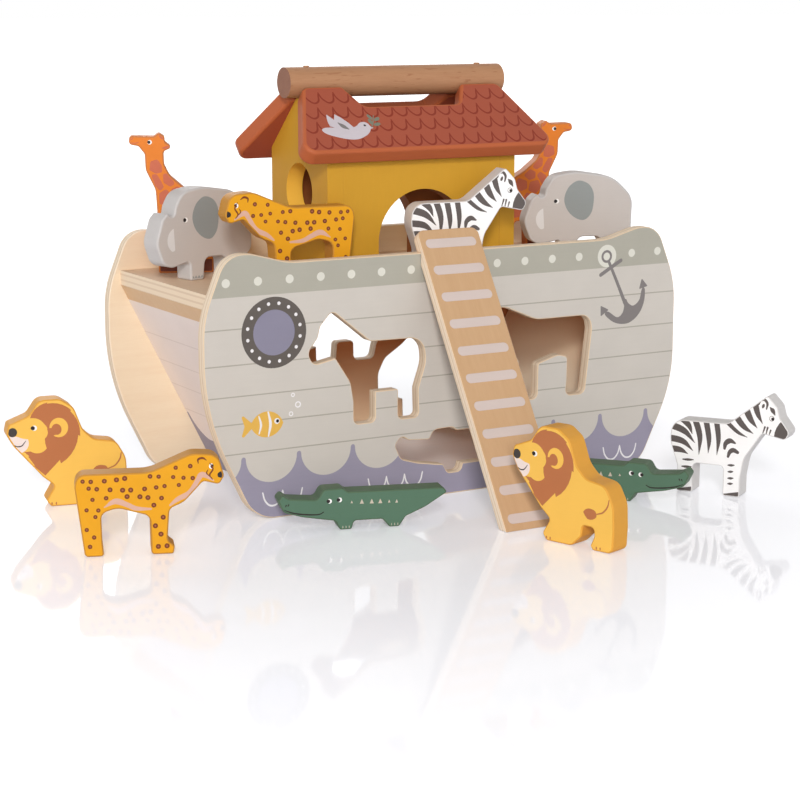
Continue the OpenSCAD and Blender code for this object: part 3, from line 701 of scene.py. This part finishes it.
def side_marks():
    band = [(bar(-SIDE_REACH, SIDE_REACH, BAND_HEIGHT, BAND_TOP), BAND)]
    dots = []
    for k in range(DOT_COUNT):
        x = DOT_PITCH * (k - (DOT_COUNT - 1) / 2)
        dots.append((disc(x, DOT_HEIGHT, DOT_RADIUS, count=20), DOT))
    foam = garland(-141, 2) + garland(-65, 3, 13.6) + garland(25, 3, 13.6) + garland(121.5, 2)
    water = sea(SIDE_REACH, WAVE_SHIFT) + foam
    return planks(SIDE_REACH) + band + dots + water + porthole(-131.7, 118.7)


def hole(outline, x, z, way=1):
    return placed(grown(outline, POSTING_GAP), x, z, way)


# The leaning ends close the hold between the side panels
END_SLOPE = math.radians(26.7)
END_HALF_WIDTH = 72
END_CORNER = 0.4
END_ARRIS = 0.3
END_HEIGHT = 133.5
END_TOP = 171
END_FOOT = END_TOP - END_HEIGHT * math.tan(END_SLOPE)
END_WIDTH = PANEL_THICKNESS / math.cos(END_SLOPE)
# Inside the hold the side panels take the hold lining with its painted shade
hold_side = [([(END_WIDTH - END_FOOT, 0), (END_FOOT - END_WIDTH, 0), (END_TOP - END_WIDTH, END_HEIGHT),
               (END_WIDTH - END_TOP, END_HEIGHT)], HOLD)]

half_turn = Matrix.Rotation(math.pi, 4, "Z")
front_place = Matrix.Translation((0, -HULL_HALF_WIDTH, 0))
front_holes = [
    hole(zebra_outline, -65, 56.54), hole(leopard_outline, 64, 59.53), hole(crocodile_outline, 11, 16.53)]
rear_holes = [
    hole(lion_outline, 100, 58, -1), hole(elephant_outline, 7, 68, -1), hole(giraffe_outline, -58.5, 15.5)]
for node, outline, holes, pictures, turn in (
        ("side_panel_front", panel_outline, front_holes, anchor() + fish(-138, 61), Matrix()),
        ("side_panel_rear", flipped(panel_outline), rear_holes, [], half_turn)):
    side = slab(node + "_painted", outline, PANEL_THICKNESS, PANEL_ARRIS, hull_materials, holes,
                side_marks() + pictures, hold_side, BARE, turn @ front_place)
    settle(side, "hull", "hull_paint", node)

# The leaning ends: painted planks below a bare strip under the deck
end_form = Matrix((
    (0, -1 / math.cos(END_SLOPE), math.tan(END_SLOPE), END_FOOT), (1, 0, 0, 0), (0, 0, 1, 0), (0, 0, 0, 1)))
end_outline = [(x, z, END_CORNER) for x, z in bar(-END_HALF_WIDTH, END_HALF_WIDTH, 0, END_HEIGHT)]
end_materials = hull_materials[:]
end_materials[FACE] = paints["end"]
end_materials[LINE] = paints["end_line"]
end_materials[BARE] = strip_wood
end_materials[HOLD] = shaded_hold_end
end_strip = [(bar(-END_REACH, END_REACH, STRIP_FOOT, STRIP_TOP), BARE)]
end_marks = planks(END_REACH)[1:] + sea(END_REACH, END_WAVE_SHIFT) + end_strip
for node, turn in (("end_panel_right", Matrix()), ("end_panel_left", half_turn)):
    end = slab(node + "_painted", end_outline, PANEL_THICKNESS, END_ARRIS, end_materials, (), end_marks,
               rear_slot=HOLD, form=turn @ end_form)
    settle(end, "hull", "hull_paint", node)


UNDERSIDE = 2
# A face counts as turned one way when this share of its normal points that way
FACING = 0.6


def flat_or_edge(normal, _):
    if abs(normal.z) < FACING:
        return EDGE
    return FACE if normal.z > 0 else UNDERSIDE


def end_or_face(normal, _):
    return EDGE if abs(normal.x) > FACING else FACE


# The deck's underside takes the hold lining with its painted shade
eased_copy("deck_board", 0.5, [deck_wood, deck_edge, shaded_hold_wood], flat_or_edge, "hull", "bare_plywood")
eased_copy("hull_floor", 0.4, [hold_floor, deck_edge, keel_wood], flat_or_edge, "hull", "bare_plywood")

# The house
DECK = 143
ARCH_RADIUS = 34
ARCH_SPRING = 21.8
WINDOW_RISE = 54.5
WINDOW_RADIUS = 18.5
RIM = 0.5
WALL_FOOT = 1
WALL_INWARD = 20
GABLE_INWARD = 40
(INSIDE, WINDOW) = (1, 2)


def wall_finish(normal, centre):
    """Walls take a dark brown painted shade inside and all round their arches."""
    rise = centre.z - DECK - ARCH_SPRING
    near_arch = math.hypot(centre.x, max(rise, 0)) < ARCH_RADIUS + RIM
    in_arch = near_arch and abs(normal.y) < FACING and centre.z > DECK + WALL_FOOT
    return INSIDE if in_arch or normal.y * centre.y < -WALL_INWARD else FACE


def gable_finish(normal, centre):
    """Gables take a dark brown painted shade inside and a painted highlight round their windows."""
    near_window = math.hypot(centre.y, centre.z - DECK - WINDOW_RISE) < WINDOW_RADIUS + RIM
    if near_window and abs(normal.x) < FACING:
        return WINDOW
    return INSIDE if normal.x * centre.x < -GABLE_INWARD else FACE


house_materials = [house_paint, house_inside_painted_shade, window_painted_highlight]
for node, finish in (("cabin_front_wall", wall_finish), ("cabin_rear_wall", wall_finish),
                     ("cabin_gable_left", gable_finish), ("cabin_gable_right", gable_finish)):
    eased_copy(node, 0.8, house_materials, finish, "house", "house_paint")
HANDLE_END = 0.8
eased_copy("ridge_handle", 1.6, [beech, beech_end],
           lambda normal, _: EDGE if abs(normal.x) > HANDLE_END else FACE, "house", "beech", 4)
eased_copy("ridge_pins", 0.5, [beech], lambda *_: FACE, "house", "beech")
eased_copy("cabin_seat_pegs", 0.8, [beech], lambda *_: FACE, "house", "beech")

# The roof, drawn flat with z up the slope from the eave to the peak
ROOF_PITCH = math.radians(42.8)
ROOF_THICKNESS = 12
ROOF_ARRIS = 2.2
PEAK = 261
(SHINGLE, DOVE, FEATHER, EYE, LEAF) = range(2, 7)
roof_materials = [
    paints["roof"], paints["roof_edge"], paints["shingle"], paints["dove"], paints["anchor"], black_paint,
    paints["leaf"]]
FRONT_RAFTER = 63.5
REAR_RAFTER = 67.5


def roof_outline(rafter):
    return [
        (-97, -rafter, 8), (97, -rafter, 8), (75, -5.14, 6), (46, -5.14, 3), (36.5, -23.74, 7),
        (-36.5, -23.74, 7), (-46, -5.14, 3), (-75, -5.14, 6)]


roof_form = leaning(ROOF_PITCH, 0, -ROOF_THICKNESS * math.sin(ROOF_PITCH),
                    PEAK + ROOF_THICKNESS * math.cos(ROOF_PITCH))
SHINGLE_WIDTH = 11
SHINGLE_ROWS = (-11, -24.5, -37, -51)


def shingles():
    marks = []
    for row, z in enumerate(SHINGLE_ROWS):
        for k in range(-10, 10):
            x = (k + 0.5 * (row % 2)) * SHINGLE_WIDTH
            marks.append((brush((x, z, 0.9), (x + 0.9, z - 5.2, 1.2), (x + 4.4, z - 9.2, 1.45),
                                (x + 8.4, z - 7.6, 1.4), (x + 10.6, z - 1.2, 0.9)), SHINGLE))
    return marks


def dove():
    """A plain dove in flight with a leafy twig."""
    return [
        (shape((-67.6, -30.5, 0.12), (-69, -41), (-60, -45), (-63, -36.5, -0.05)), DOVE),
        (shape((-61.7, -30.5), (-64.2, -36.5), (-62, -45), (-52, -43, 0.12)), DOVE),
        (blob((-76, -44), (-74, -47.4), (-67, -50.8), (-59, -53), (-51.6, -52.8), (-43.6, -48.6),
              (-39.8, -43), (-41.8, -38.6), (-46, -38.6), (-50.4, -41.8), (-57, -43.6), (-66, -42.4),
              (-72.8, -42.2)), DOVE),
        (soft(0.3, (-40.2, -42), (-40.2, -44.4), (-37.8, -43.6)), DOVE),
        (brush((-62, -38.2, 0.8), (-59.4, -41.4, 3.4), (-56.4, -44, 0.9)), FEATHER),
        (disc(-43.5, -41.2, 0.9, count=14), EYE),
        (brush((-39, -43, 0.7), (-36.4, -39, 0.8), (-33.6, -32.6, 0.6)), LEAF),
        (disc(-38, -38.2, 2.7, 1.4, 100), LEAF), (disc(-34, -40.6, 2.7, 1.4, 15), LEAF),
        (disc(-37, -34, 2.6, 1.3, 115), LEAF), (disc(-32.4, -36, 2.6, 1.3, 30), LEAF)]


for node, rafter, turn in (("roof_board_front", FRONT_RAFTER, Matrix()),
                           ("roof_board_rear", REAR_RAFTER, half_turn)):
    board = slab(node + "_painted", roof_outline(rafter), ROOF_THICKNESS, ROOF_ARRIS, roof_materials, (),
                 shingles() + dove(), form=turn @ roof_form)
    settle(board, "house", "roof_paint", node)

# The ramp and its painted rungs
RAMP_FOOT = -184.1
RAMP_MIDDLE = -3
RUNG_PITCH = 18.9
RUNG_COUNT = 11
FIRST_RUNG = 8
RUNG_PROUD = 0.12
RUNG_SUNK = 0.3
RUNG_INSET = 0.1
RUNG_EASE = 0.06
rung_outline = [(x, z, 3.1) for x, z in bar(-19, 19, -3.2, 3.2)]
eased_copy("boarding_ramp", 0.7, [ramp_wood, ramp_edge], end_or_face, "ramp", "bare_plywood")
rungs = Board()
film = [(RUNG_INSET, -RUNG_PROUD, 0.0), (0.0, RUNG_EASE - RUNG_PROUD, math.pi / 2),
        (0.0, RUNG_SUNK, math.pi / 2)]
for k in range(RUNG_COUNT):
    rung = placed(rung_outline, 0, FIRST_RUNG + RUNG_PITCH * k)
    rungs.cap([rungs.sides(rung, film, FACE)], [], -RUNG_PROUD, FACE, True)
ramp_form = leaning(RAMP_ANGLE, RAMP_MIDDLE, RAMP_FOOT, 0)
rung_piece = rungs.make("ramp_rungs", [paints["rung"]], ramp_form)
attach(rung_piece, "ramp")

# Animals: slots after face and edge, and marks for a figure that faces left
ANIMAL_THICKNESS = 15
(FIRST, SECOND, THIRD, WHITE, DARK) = range(2, 7)


def eye(x, z, size=1.0):
    return [(disc(x + 0.5 * size, z, 1.75 * size, count=20), WHITE),
            (disc(x - 0.45 * size, z, 1.35 * size, count=18), DARK)]


lion_marks = [
    (shape((-23.6, 59, 0.3), (-12.2, 68.6), (-12.4, 67.9, 0.24), (2.8, 62.8), (2.4, 62, 0.22), (8.2, 45.4),
           (7, 46, 0.25), (-4.8, 28), (-5.4, 30.4, 0.05), (-15, 20.8, 0.05), (-21.8, 27.2),
           (-21.8, 28.2, 0.05), (-25.6, 34), (-25, 34.4, 0.05), (-28.6, 37.6, -0.1), (-24, 37.4, -0.42),
           (-13.6, 38.6, 0.1), (-14.6, 45, -0.45), (-14.6, 54.6, -0.3)), FIRST),
    (disc(-5.4, 51.8, 6, 6.4, 12), FACE), (disc(-6.9, 50.7, 3.2, 3.7, 12), FIRST),
    (shape((-6.9, 52.2), (-13, 51.6), (-11.8, 46), (-7.4, 47.2)), FIRST),
    (shape((-39.5, 48.4, -0.1), (-32.5, 47.6, -0.1), (-25.4, 45.4, 0.45), (-29.6, 36.8, 0.1),
           (-38.4, 41, 0.2)), SECOND),
    (brush((-34.6, 42.2, 0.4), (-32.2, 41, 0.7), (-29.4, 41.4, 0.7), (-26.8, 44.4, 0.4)), DARK),
    (disc(-35, 50.4, 2.9, 3), THIRD),
    (brush((34.6, 32.4, 0.7), (33.6, 28.4, 1.0), (30.4, 24.4, 1.0), (26, 22.6, 0.8)), FIRST),
    (shape((25.6, 20.8, 0.5), (22.5, 25, 0.35), (15.8, 22.4, 0.1), (19, 18.6, 0.3)), FIRST),
] + eye(-21.6, 52.4)
for toe_x in (-11.4, -8.6, 26, 28.8):
    lion_marks.append((disc(toe_x, 1.9, 0.5, 1.0, count=12), FIRST))


def inside(x, z, points):
    within = False
    for a, b in zip(points, points[1:] + points[:1]):
        if (a[1] > z) != (b[1] > z) and x < a[0] + (b[0] - a[0]) * (z - a[1]) / (b[1] - a[1]):
            within = not within
    return within


# The leopard's spots keep clear of its throat, its belly, its face and its edges
throat = brush((-11.8, 29.6, 1.2), (-16.6, 33.2, 2.8), (-23.6, 36.8, 3.2), (-28, 43.6, 2.8),
               (-31.2, 47.4, 3.4), (-37.6, 43.6, 0.8))
belly = brush((26.6, 29.8, 0.6), (20, 33.2, 3.4), (13.6, 31, 3), (7.8, 28.4, 2.6), (-0.6, 27.8, 1.2))
SPOT_PITCH = 6.6
SPOT_BORDER = 2.6
SPOT_ROWS = range(1, 10)
SPOT_COLUMNS = range(-7, 8)
FACE_START = -28
spot_field = border(grown(leopard_outline, -SPOT_BORDER))
leopard_marks = [(throat, FIRST), (belly, FIRST)]
for row in SPOT_ROWS:
    for column in SPOT_COLUMNS:
        wander = row * 2.3 + column * 4.1
        spot_x = SPOT_PITCH * (column + 0.5 * (row % 2)) + 1.1 * math.sin(wander)
        spot_z = 0.88 * SPOT_PITCH * row + math.cos(wander * 1.7)
        near = [(spot_x, spot_z), (spot_x - 1.8, spot_z), (spot_x + 1.8, spot_z), (spot_x, spot_z - 1.6)]
        clear = not any(inside(x, z, throat) or inside(x, z, belly) for x, z in near)
        if spot_x > FACE_START and clear and inside(spot_x, spot_z, spot_field):
            spot_size = 1.4 + 0.15 * math.sin(wander * 2.9)
            leopard_marks += [(disc(spot_x, spot_z, spot_size, count=18), SECOND),
                              (disc(spot_x, spot_z, 0.4 * spot_size, count=12), THIRD)]
leopard_marks += [
    (brush((-28.8, 54.2, 0.4), (-28.8, 56.6, 1.2), (-31.4, 57.4, 1.3), (-33.6, 56, 0.4)), SECOND),
    (disc(-36.4, 52.4, 1.3, 1.6, 20, count=18), WHITE), (disc(-36.9, 52.3, 0.9, 1.2, 20, count=16), DARK),
    (brush((-35.6, 54.2, 0.5), (-37.4, 50.6, 0.9), (-35.4, 47, 0.9), (-37, 44.4, 0.5)), SECOND),
    (brush((-35, 46.6, 0.5), (-33.6, 48.2, 0.7), (-34.4, 50.2, 0.4)), SECOND),
    (shape((-44.6, 45.2, 0.2), (-40.4, 45.6, 0.5), (-41.2, 48.6, 0.3), (-44.6, 48.6)), DARK)]

crocodile_marks = [
    (brush((-49.4, 14.4, 0.5), (-44, 12.4, 0.8), (-37, 11.1, 0.9), (-28.4, 10.6, 0.8),
           (-25, 12, 0.5)), DARK),
    (brush((-48.9, 16.6, 0.4), (-48.4, 17.6, 0.9)), DARK),
    (brush((-47.4, 16.8, 0.4), (-46.9, 17.8, 0.9)), DARK)]
for tooth_x, tooth_z, tooth in ((-7.3, 17.3, 0.7), (-0.9, 17.2, 1.3), (5.4, 17, 1.3), (10.8, 16.8, 1.3),
                                (16.5, 16.4, 0.8), (21.3, 16.2, 0.9)):
    crocodile_marks.append(([(tooth_x - tooth, tooth_z - tooth), (tooth_x + tooth, tooth_z - tooth),
                             (tooth_x, tooth_z + 1.3 * tooth)], FIRST))
for toe_x in (-13, -11, -9, 18, 20, 22):
    crocodile_marks.append((brush((toe_x, -0.5, 0.5), (toe_x, 2.2, 0.4)), FIRST))
crocodile_marks += eye(-21.7, 18.6, 0.85) + eye(-15.3, 19.1, 0.85)

zebra_strokes = [
    ((43, 28, 4.4), (34, 28.1, 3.8), (28, 25.7, 0.3)),
    ((43, 35.6, 4.4), (32, 34, 4), (24.6, 28.2, 0.3)),
    ((42, 44.6, 4.8), (31, 41, 4.2), (23.4, 33.6, 0.3)),
    ((35.5, 51.4, 4.6), (28.4, 45.6, 3.8), (25.4, 39.4, 0.3)),
    ((24.6, 52, 4.2), (20.2, 39, 3.8), (20.4, 26, 0.3)),
    ((16.6, 52, 4), (13.8, 38, 3.5), (14, 27.6, 0.3)),
    ((9.4, 53, 3.8), (7.2, 38.6, 3.3), (8, 27, 0.3)),
    ((3.4, 51.4, 2.8), (-5.6, 44, 2.4), (-12.4, 41, 0.3)),
    ((-2.4, 57, 4.4), (-9.4, 48.4, 3.8), (-16.4, 43.8, 0.3)),
    ((-9.6, 63.5, 4.6), (-14, 53.8, 4), (-19, 47.8, 0.3)),
    ((-16, 69, 4.2), (-18.8, 58, 3.6), (-22.5, 51, 0.3)),
    ((2.8, 32, 1.8), (2.1, 35.4, 3), (-0.8, 37.5, 3.4), (-4.4, 36.2, 1.2)),
    ((0.2, 26.8, 1.8), (-0.9, 30, 2.7), (-3.3, 31.4, 3.1), (-6.2, 30.2, 2.2)),
    ((-19.6, 63.8, 1), (-20.8, 66.4, 1.6), (-23.4, 67, 1.8), (-25.3, 64.6, 1.7), (-24.8, 61, 0.9)),
    ((-27.2, 62.4, 0.6), (-29, 60.4, 2.9), (-30.6, 57.6, 0.6)),
    ((-22.6, 44, 0.5), (-24.2, 49, 1.3)),
    ((-25, 44, 0.5), (-26, 48.8, 1.3)),
    ((-27.2, 44, 0.5), (-28.1, 47.2, 1.2))]
zebra_marks = [(brush(*knots), FIRST) for knots in zebra_strokes] + [
    ([(-12, -2), (6, -2), (6, 0.7), (-12, 4.6)], FIRST),
    ([(20, -2), (38, -2), (38, 0.9), (20, 4.8)], FIRST),
    (shape((-30.4, 43, 0.2), (-35.8, 54.6), (-46, 53), (-44, 38), (-31, 38)), FIRST),
    (disc(-22.6, 62.8, 0.9, 1.6, 20, count=16), FIRST),
    (disc(-28.6, 55, 1.75, count=18), FIRST), (disc(-28.5, 55.1, 1.4, count=18), WHITE),
    (disc(-29.2, 54.8, 1, count=16), DARK)]
for dash_x, dash_z, dash in ((0, 21, 4.2), (-0.2, 16.6, 3.2), (-0.2, 12.2, 3.5), (-0.2, 8.5, 3.2),
                             (31.4, 21.7, 7.2), (32, 16.8, 6.4), (31.8, 11.8, 5.4)):
    zebra_marks.append((brush((dash_x, dash_z, 0.9), (dash_x - dash / 2, dash_z + 0.1, 1.7),
                              (dash_x - dash, dash_z + 0.4, 0.7)), FIRST))

elephant_marks = [
    (blob((-0.4, 54), (-6.4, 51), (-10, 45.4), (-10.8, 39), (-7.6, 32), (-1.6, 27.2), (4.4, 26.4), (9, 31),
          (10.6, 38), (10.4, 45.6), (6.6, 51.6)), FIRST),
    (shape((-26.2, 35, 0.55), (-28.8, 21, 0.5), (-25.4, 21.2, 0.05)), SECOND),
] + eye(-16.8, 39.8, 0.95)
NAIL_PITCH = 2.5
for foot_x in (-7.6, 23.4):
    for k in (-1.5, -0.5, 0.5, 1.5):
        nail_x = foot_x + NAIL_PITCH * k
        nail = shape((nail_x - NAIL_PITCH / 2, -1), (nail_x + NAIL_PITCH / 2, -1, 0.3), (nail_x, 3.2, 0.3))
        elephant_marks.append((nail, FIRST))

# The giraffe's patches spread until narrow lines are left between them
PATCH_SPREAD = 0.5
giraffe_patches = [
    ((-12.5, 73.8), (-8.6, 75), (-6, 71.2), (-5.8, 67.4), (-9.4, 66.6), (-13.3, 68.8)),
    ((-12.2, 65.2), (-9.4, 65.4), (-6.9, 61.4), (-5, 57.4), (-7, 55.2), (-9.6, 58.2)),
    ((-4.6, 66), (-2.2, 65.4), (2.4, 59.4), (-0.4, 58), (-4.2, 60.4)),
    ((-7.2, 52.8), (-3.2, 55.4), (-1.2, 53.4), (-4.6, 47.5), (-7.2, 44.4)),
    ((0.8, 55.6), (4.5, 57.2), (8.6, 53.4), (5, 50.4), (1, 51.6)),
    ((-1.6, 49.4), (4, 48.2), (5.2, 42.6), (0.2, 40.6), (-3.4, 44.2)),
    ((7.2, 49), (13, 51), (15.4, 46), (11, 42.4), (7, 44)),
    ((17.4, 47), (21, 46.4), (25.4, 39), (20.6, 37.4), (16.6, 42.4)),
    ((-6.8, 39.6), (-1.8, 38.4), (-1.4, 32.4), (-6.8, 31)),
    ((1, 38.4), (6.6, 40.4), (9.8, 36), (6, 31), (1.2, 32.6)),
    ((11.6, 40.4), (15.4, 40.2), (19.2, 35.4), (14.4, 31), (10.8, 34)),
    ((20.6, 35), (25.6, 34.4), (25.6, 27.4), (19.4, 30)),
    ((-6.6, 28.6), (-1, 29.4), (0.6, 24), (-6.4, 22.6)),
    ((3, 28.8), (8.6, 27.6), (7.4, 23.4), (2.8, 24)),
    ((11, 28.8), (17, 28.6), (16.4, 23), (11.6, 23.6)),
    ((19, 26.6), (25, 25), (24.8, 18.4), (19, 19.4)),
    ((-6.4, 20), (-0.6, 21), (3.6, 17.2), (-1.4, 14.4), (-6.4, 15.8)),
    ((19, 16.8), (24.8, 15.6), (24.6, 10.6), (19.4, 11.2))]
giraffe_marks = [(soft(1, *points, spread=PATCH_SPREAD), FIRST) for points in giraffe_patches] + [
    # The dark socks on the legs are painted shade
    (bar(-12, 9, -2, 11), SECOND), (bar(14, 30, -2, 9), SECOND),
    (brush((-7, 92.6, 1.8), (-5.6, 90, 1.6), (-4.2, 88.6, 0.8)), FIRST),
    (brush((-4.8, 82.8, 0.8), (-1.8, 83.4, 1.8), (0.6, 83.2, 0.6)), FIRST),
    (brush((-25.4, 88.6, 0.4), (-24.4, 89.2, 0.9)), FIRST),
    (brush((-26.6, 86.6, 0.4), (-22.6, 86.2, 0.6), (-20.4, 86.9, 0.4)), FIRST),
    (disc(-13.2, 86.8, 1.5, count=18), WHITE), (disc(-13.7, 86.8, 1.05, count=16), DARK)]


def figure_paints(kind, colours):
    """Paints for the slots of a figure. A slot that it has no mark for is filled with white."""
    names = ("body", "edge", "first", "second", "third")
    made = [paint(kind + "_" + name, colour) for name, colour in zip(names, colours)]
    unused = [paints["white"]] * (len(names) - len(made))
    return made + unused + [paints["white"], black_paint]


# Outline, arris, marks and colours
figures = {
    "lion": (lion_outline, 0.9, lion_marks, [
        (243, 191, 88), (226, 162, 64), (184, 113, 71), (238, 220, 212), (68, 62, 60)]),
    "leopard": (leopard_outline, 0.9, leopard_marks, [
        (226, 158, 26), (198, 138, 48), (212, 168, 148), (118, 58, 30), (160, 96, 66)]),
    "crocodile": (crocodile_outline, 0.9, crocodile_marks, [
        (84, 114, 93), (82, 106, 82), (198, 186, 168)]),
    "zebra": (zebra_outline, 0.6, zebra_marks, [(252, 249, 247), (224, 220, 217), (96, 88, 85)]),
    "elephant": (elephant_outline, 1.4, elephant_marks, [
        (196, 188, 182), (198, 193, 190), (146, 150, 148), (219, 215, 212)]),
    # The giraffe's last colour is the painted shade on its legs
    "giraffe": (giraffe_outline, 1, giraffe_marks, [
        (224, 126, 42), (206, 122, 62), (198, 105, 76), (112, 56, 40)])}
coats = {kind: figure_paints(kind, figure[-1]) for kind, figure in figures.items()}

# Where each stands: x, y, z, turn in degrees, and 1 for facing left or -1 for right
standing = {
    "lion_left": (-233, 16.5, 0, -11.5, 1), "lion_right": (-11, -222.1, 0, -72, 1),
    "leopard_left": (-235, -121, 0, -20.8, -1), "leopard_deck": (-105, -52.5, DECK, -6.6, 1),
    "crocodile_left": (-97, -131, 0, -16.3, 1), "crocodile_right": (78, -147, 0, -51.3, -1),
    "zebra_right": (151.5, -178.5, 0, -58.2, -1), "zebra_deck": (20.5, -65, DECK, -11, -1),
    "elephant_left": (-139, 2.5, DECK, 14, 1), "elephant_right": (137.5, -23.5, DECK, -18, 1),
    "giraffe_left": (-146, 41.5, DECK, -23, 1), "giraffe_right": (140, 35, DECK, -20, -1)}

for node, (x, y, z, yaw, way) in standing.items():
    kind = node.split("_")[0]
    outline, arris, marks, _ = figures[kind]
    if way < 0:
        outline = flipped(outline)
        marks = [([(-px, pz) for px, pz in reversed(points)], slot) for points, slot in marks]
    animal = slab(node + "_painted", outline, ANIMAL_THICKNESS, arris, coats[kind], (), marks, marks)
    animal.matrix_world = (Matrix.Translation(Vector((x, y, z)) * MM)
                           @ Matrix.Rotation(math.radians(yaw), 4, "Z"))
    bpy.context.view_layer.update()
    settle(animal, node + "_body", kind + "_paint", node)

# Hidden dowels keep their solids and take the beech
for node in ("hull_dowels", "cabin_wall_dowels", "roof_dowels"):
    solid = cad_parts[node]
    for slot in solid.material_slots:
        slot.material = beech


# Floor, light and camera
def seen_directly(tree):
    """1 for what the camera sees, also mirrored or through glass, and 0 for light that falls on things."""
    rays = tree.nodes.new("ShaderNodeLightPath").outputs
    seen = rays["Is Camera Ray"]
    for ray in ("Is Glossy Ray", "Is Transmission Ray"):
        seen = add_node(tree, "Math", {0: seen, 1: rays[ray]}, operation="MAXIMUM").outputs[0]
    return seen


FLOOR_REACH = 30.0
FLOOR_DROP = 0.0002
FLOOR_COLOUR = (0.87, 0.875, 0.93, 1)
FLOOR_ROUGHNESS = 0.05
FLOOR_IOR = 1.42
# The floor's glow is weaker near the ark, a painted shadow: it pales from a near to a far ring round the
# ark
NEAR_RING = 0.25
FAR_RING = 0.75
NEAR_LIFT = 0.28
FAR_LIFT = 0.58
WHITE_COLOUR = (1, 1, 1, 1)

floor_mesh = bpy.data.meshes.new("floor")
floor_corners = [(x, y, 0) for x, y in bar(-FLOOR_REACH, FLOOR_REACH, -FLOOR_REACH, FLOOR_REACH)]
floor_mesh.from_pydata(floor_corners, [], [(0, 1, 2, 3)])
floor = add_object("floor", floor_mesh)
floor.location.z = -FLOOR_DROP
floor_material, tree, shader, place = start_material("floor")
shader.inputs["Base Color"].default_value = FLOOR_COLOUR
shader.inputs["Roughness"].default_value = FLOOR_ROUGHNESS
shader.inputs["IOR"].default_value = FLOOR_IOR
reach = add_node(tree, "VectorMath", {0: place}, operation="LENGTH").outputs["Value"]
lift = stretch_range(tree, reach, NEAR_LIFT, FAR_LIFT, NEAR_RING, FAR_RING)
glow = add_node(tree, "Math", {0: seen_directly(tree), 1: lift}, operation="MULTIPLY")
shader.inputs["Emission Color"].default_value = WHITE_COLOUR
tree.links.new(glow.outputs[0], shader.inputs["Emission Strength"])
floor_mesh.materials.append(floor_material)

# The world is white to look at, and lights things more from the sides than from above
SIDE_LEVEL = 0.66
TOP_LEVEL = 0.2
SEEN_LEVEL = 1.0
world = bpy.data.worlds.new("studio")
scene.world = world
world.use_nodes = True
tree = world.node_tree
background = tree.nodes["Background"]
background.inputs["Color"].default_value = WHITE_COLOUR
way = tree.nodes.new("ShaderNodeTexCoord").outputs["Generated"]
sky = stretch_range(tree, height_of(tree, way), SIDE_LEVEL, TOP_LEVEL)
tree.links.new(blend(tree, seen_directly(tree), sky, SEEN_LEVEL), background.inputs["Strength"])

LAMP_AIM = Vector((0, 0, 0.1))


def lamp(name, place, size, power):
    light = bpy.data.lights.new(name, "AREA")
    light.shape = "DISK"
    light.size = size
    light.energy = power
    made = add_object(name, light)
    made.location = place
    made.rotation_euler = (LAMP_AIM - Vector(place)).to_track_quat("-Z", "Y").to_euler()


lamp("key_light", (-3.4, -5.7, 3.1), 1.2, 206)
lamp("side_light", (-2.3, -0.5, 0.6), 1.8, 4)
lamp("fill_light", (-2.8, -5.2, 1.4), 1.6, 86)
lamp("back_light", (0.3, 1.7, 1.1), 1.4, 10)

CAMERA_PLACE = (-0.6907, -1.2005, 0.3225)
CAMERA_DIP = 11.16
CAMERA_TURN = -30.1
camera_data = bpy.data.cameras.new("camera")
camera_data.sensor_width = 36
camera_data.lens = 91.56
camera_data.clip_end = 100
camera = add_object("camera", camera_data)
camera.location = CAMERA_PLACE
camera.rotation_euler = (math.radians(90 - CAMERA_DIP), 0, math.radians(CAMERA_TURN))
scene.camera = camera

bpy.context.view_layer.update()
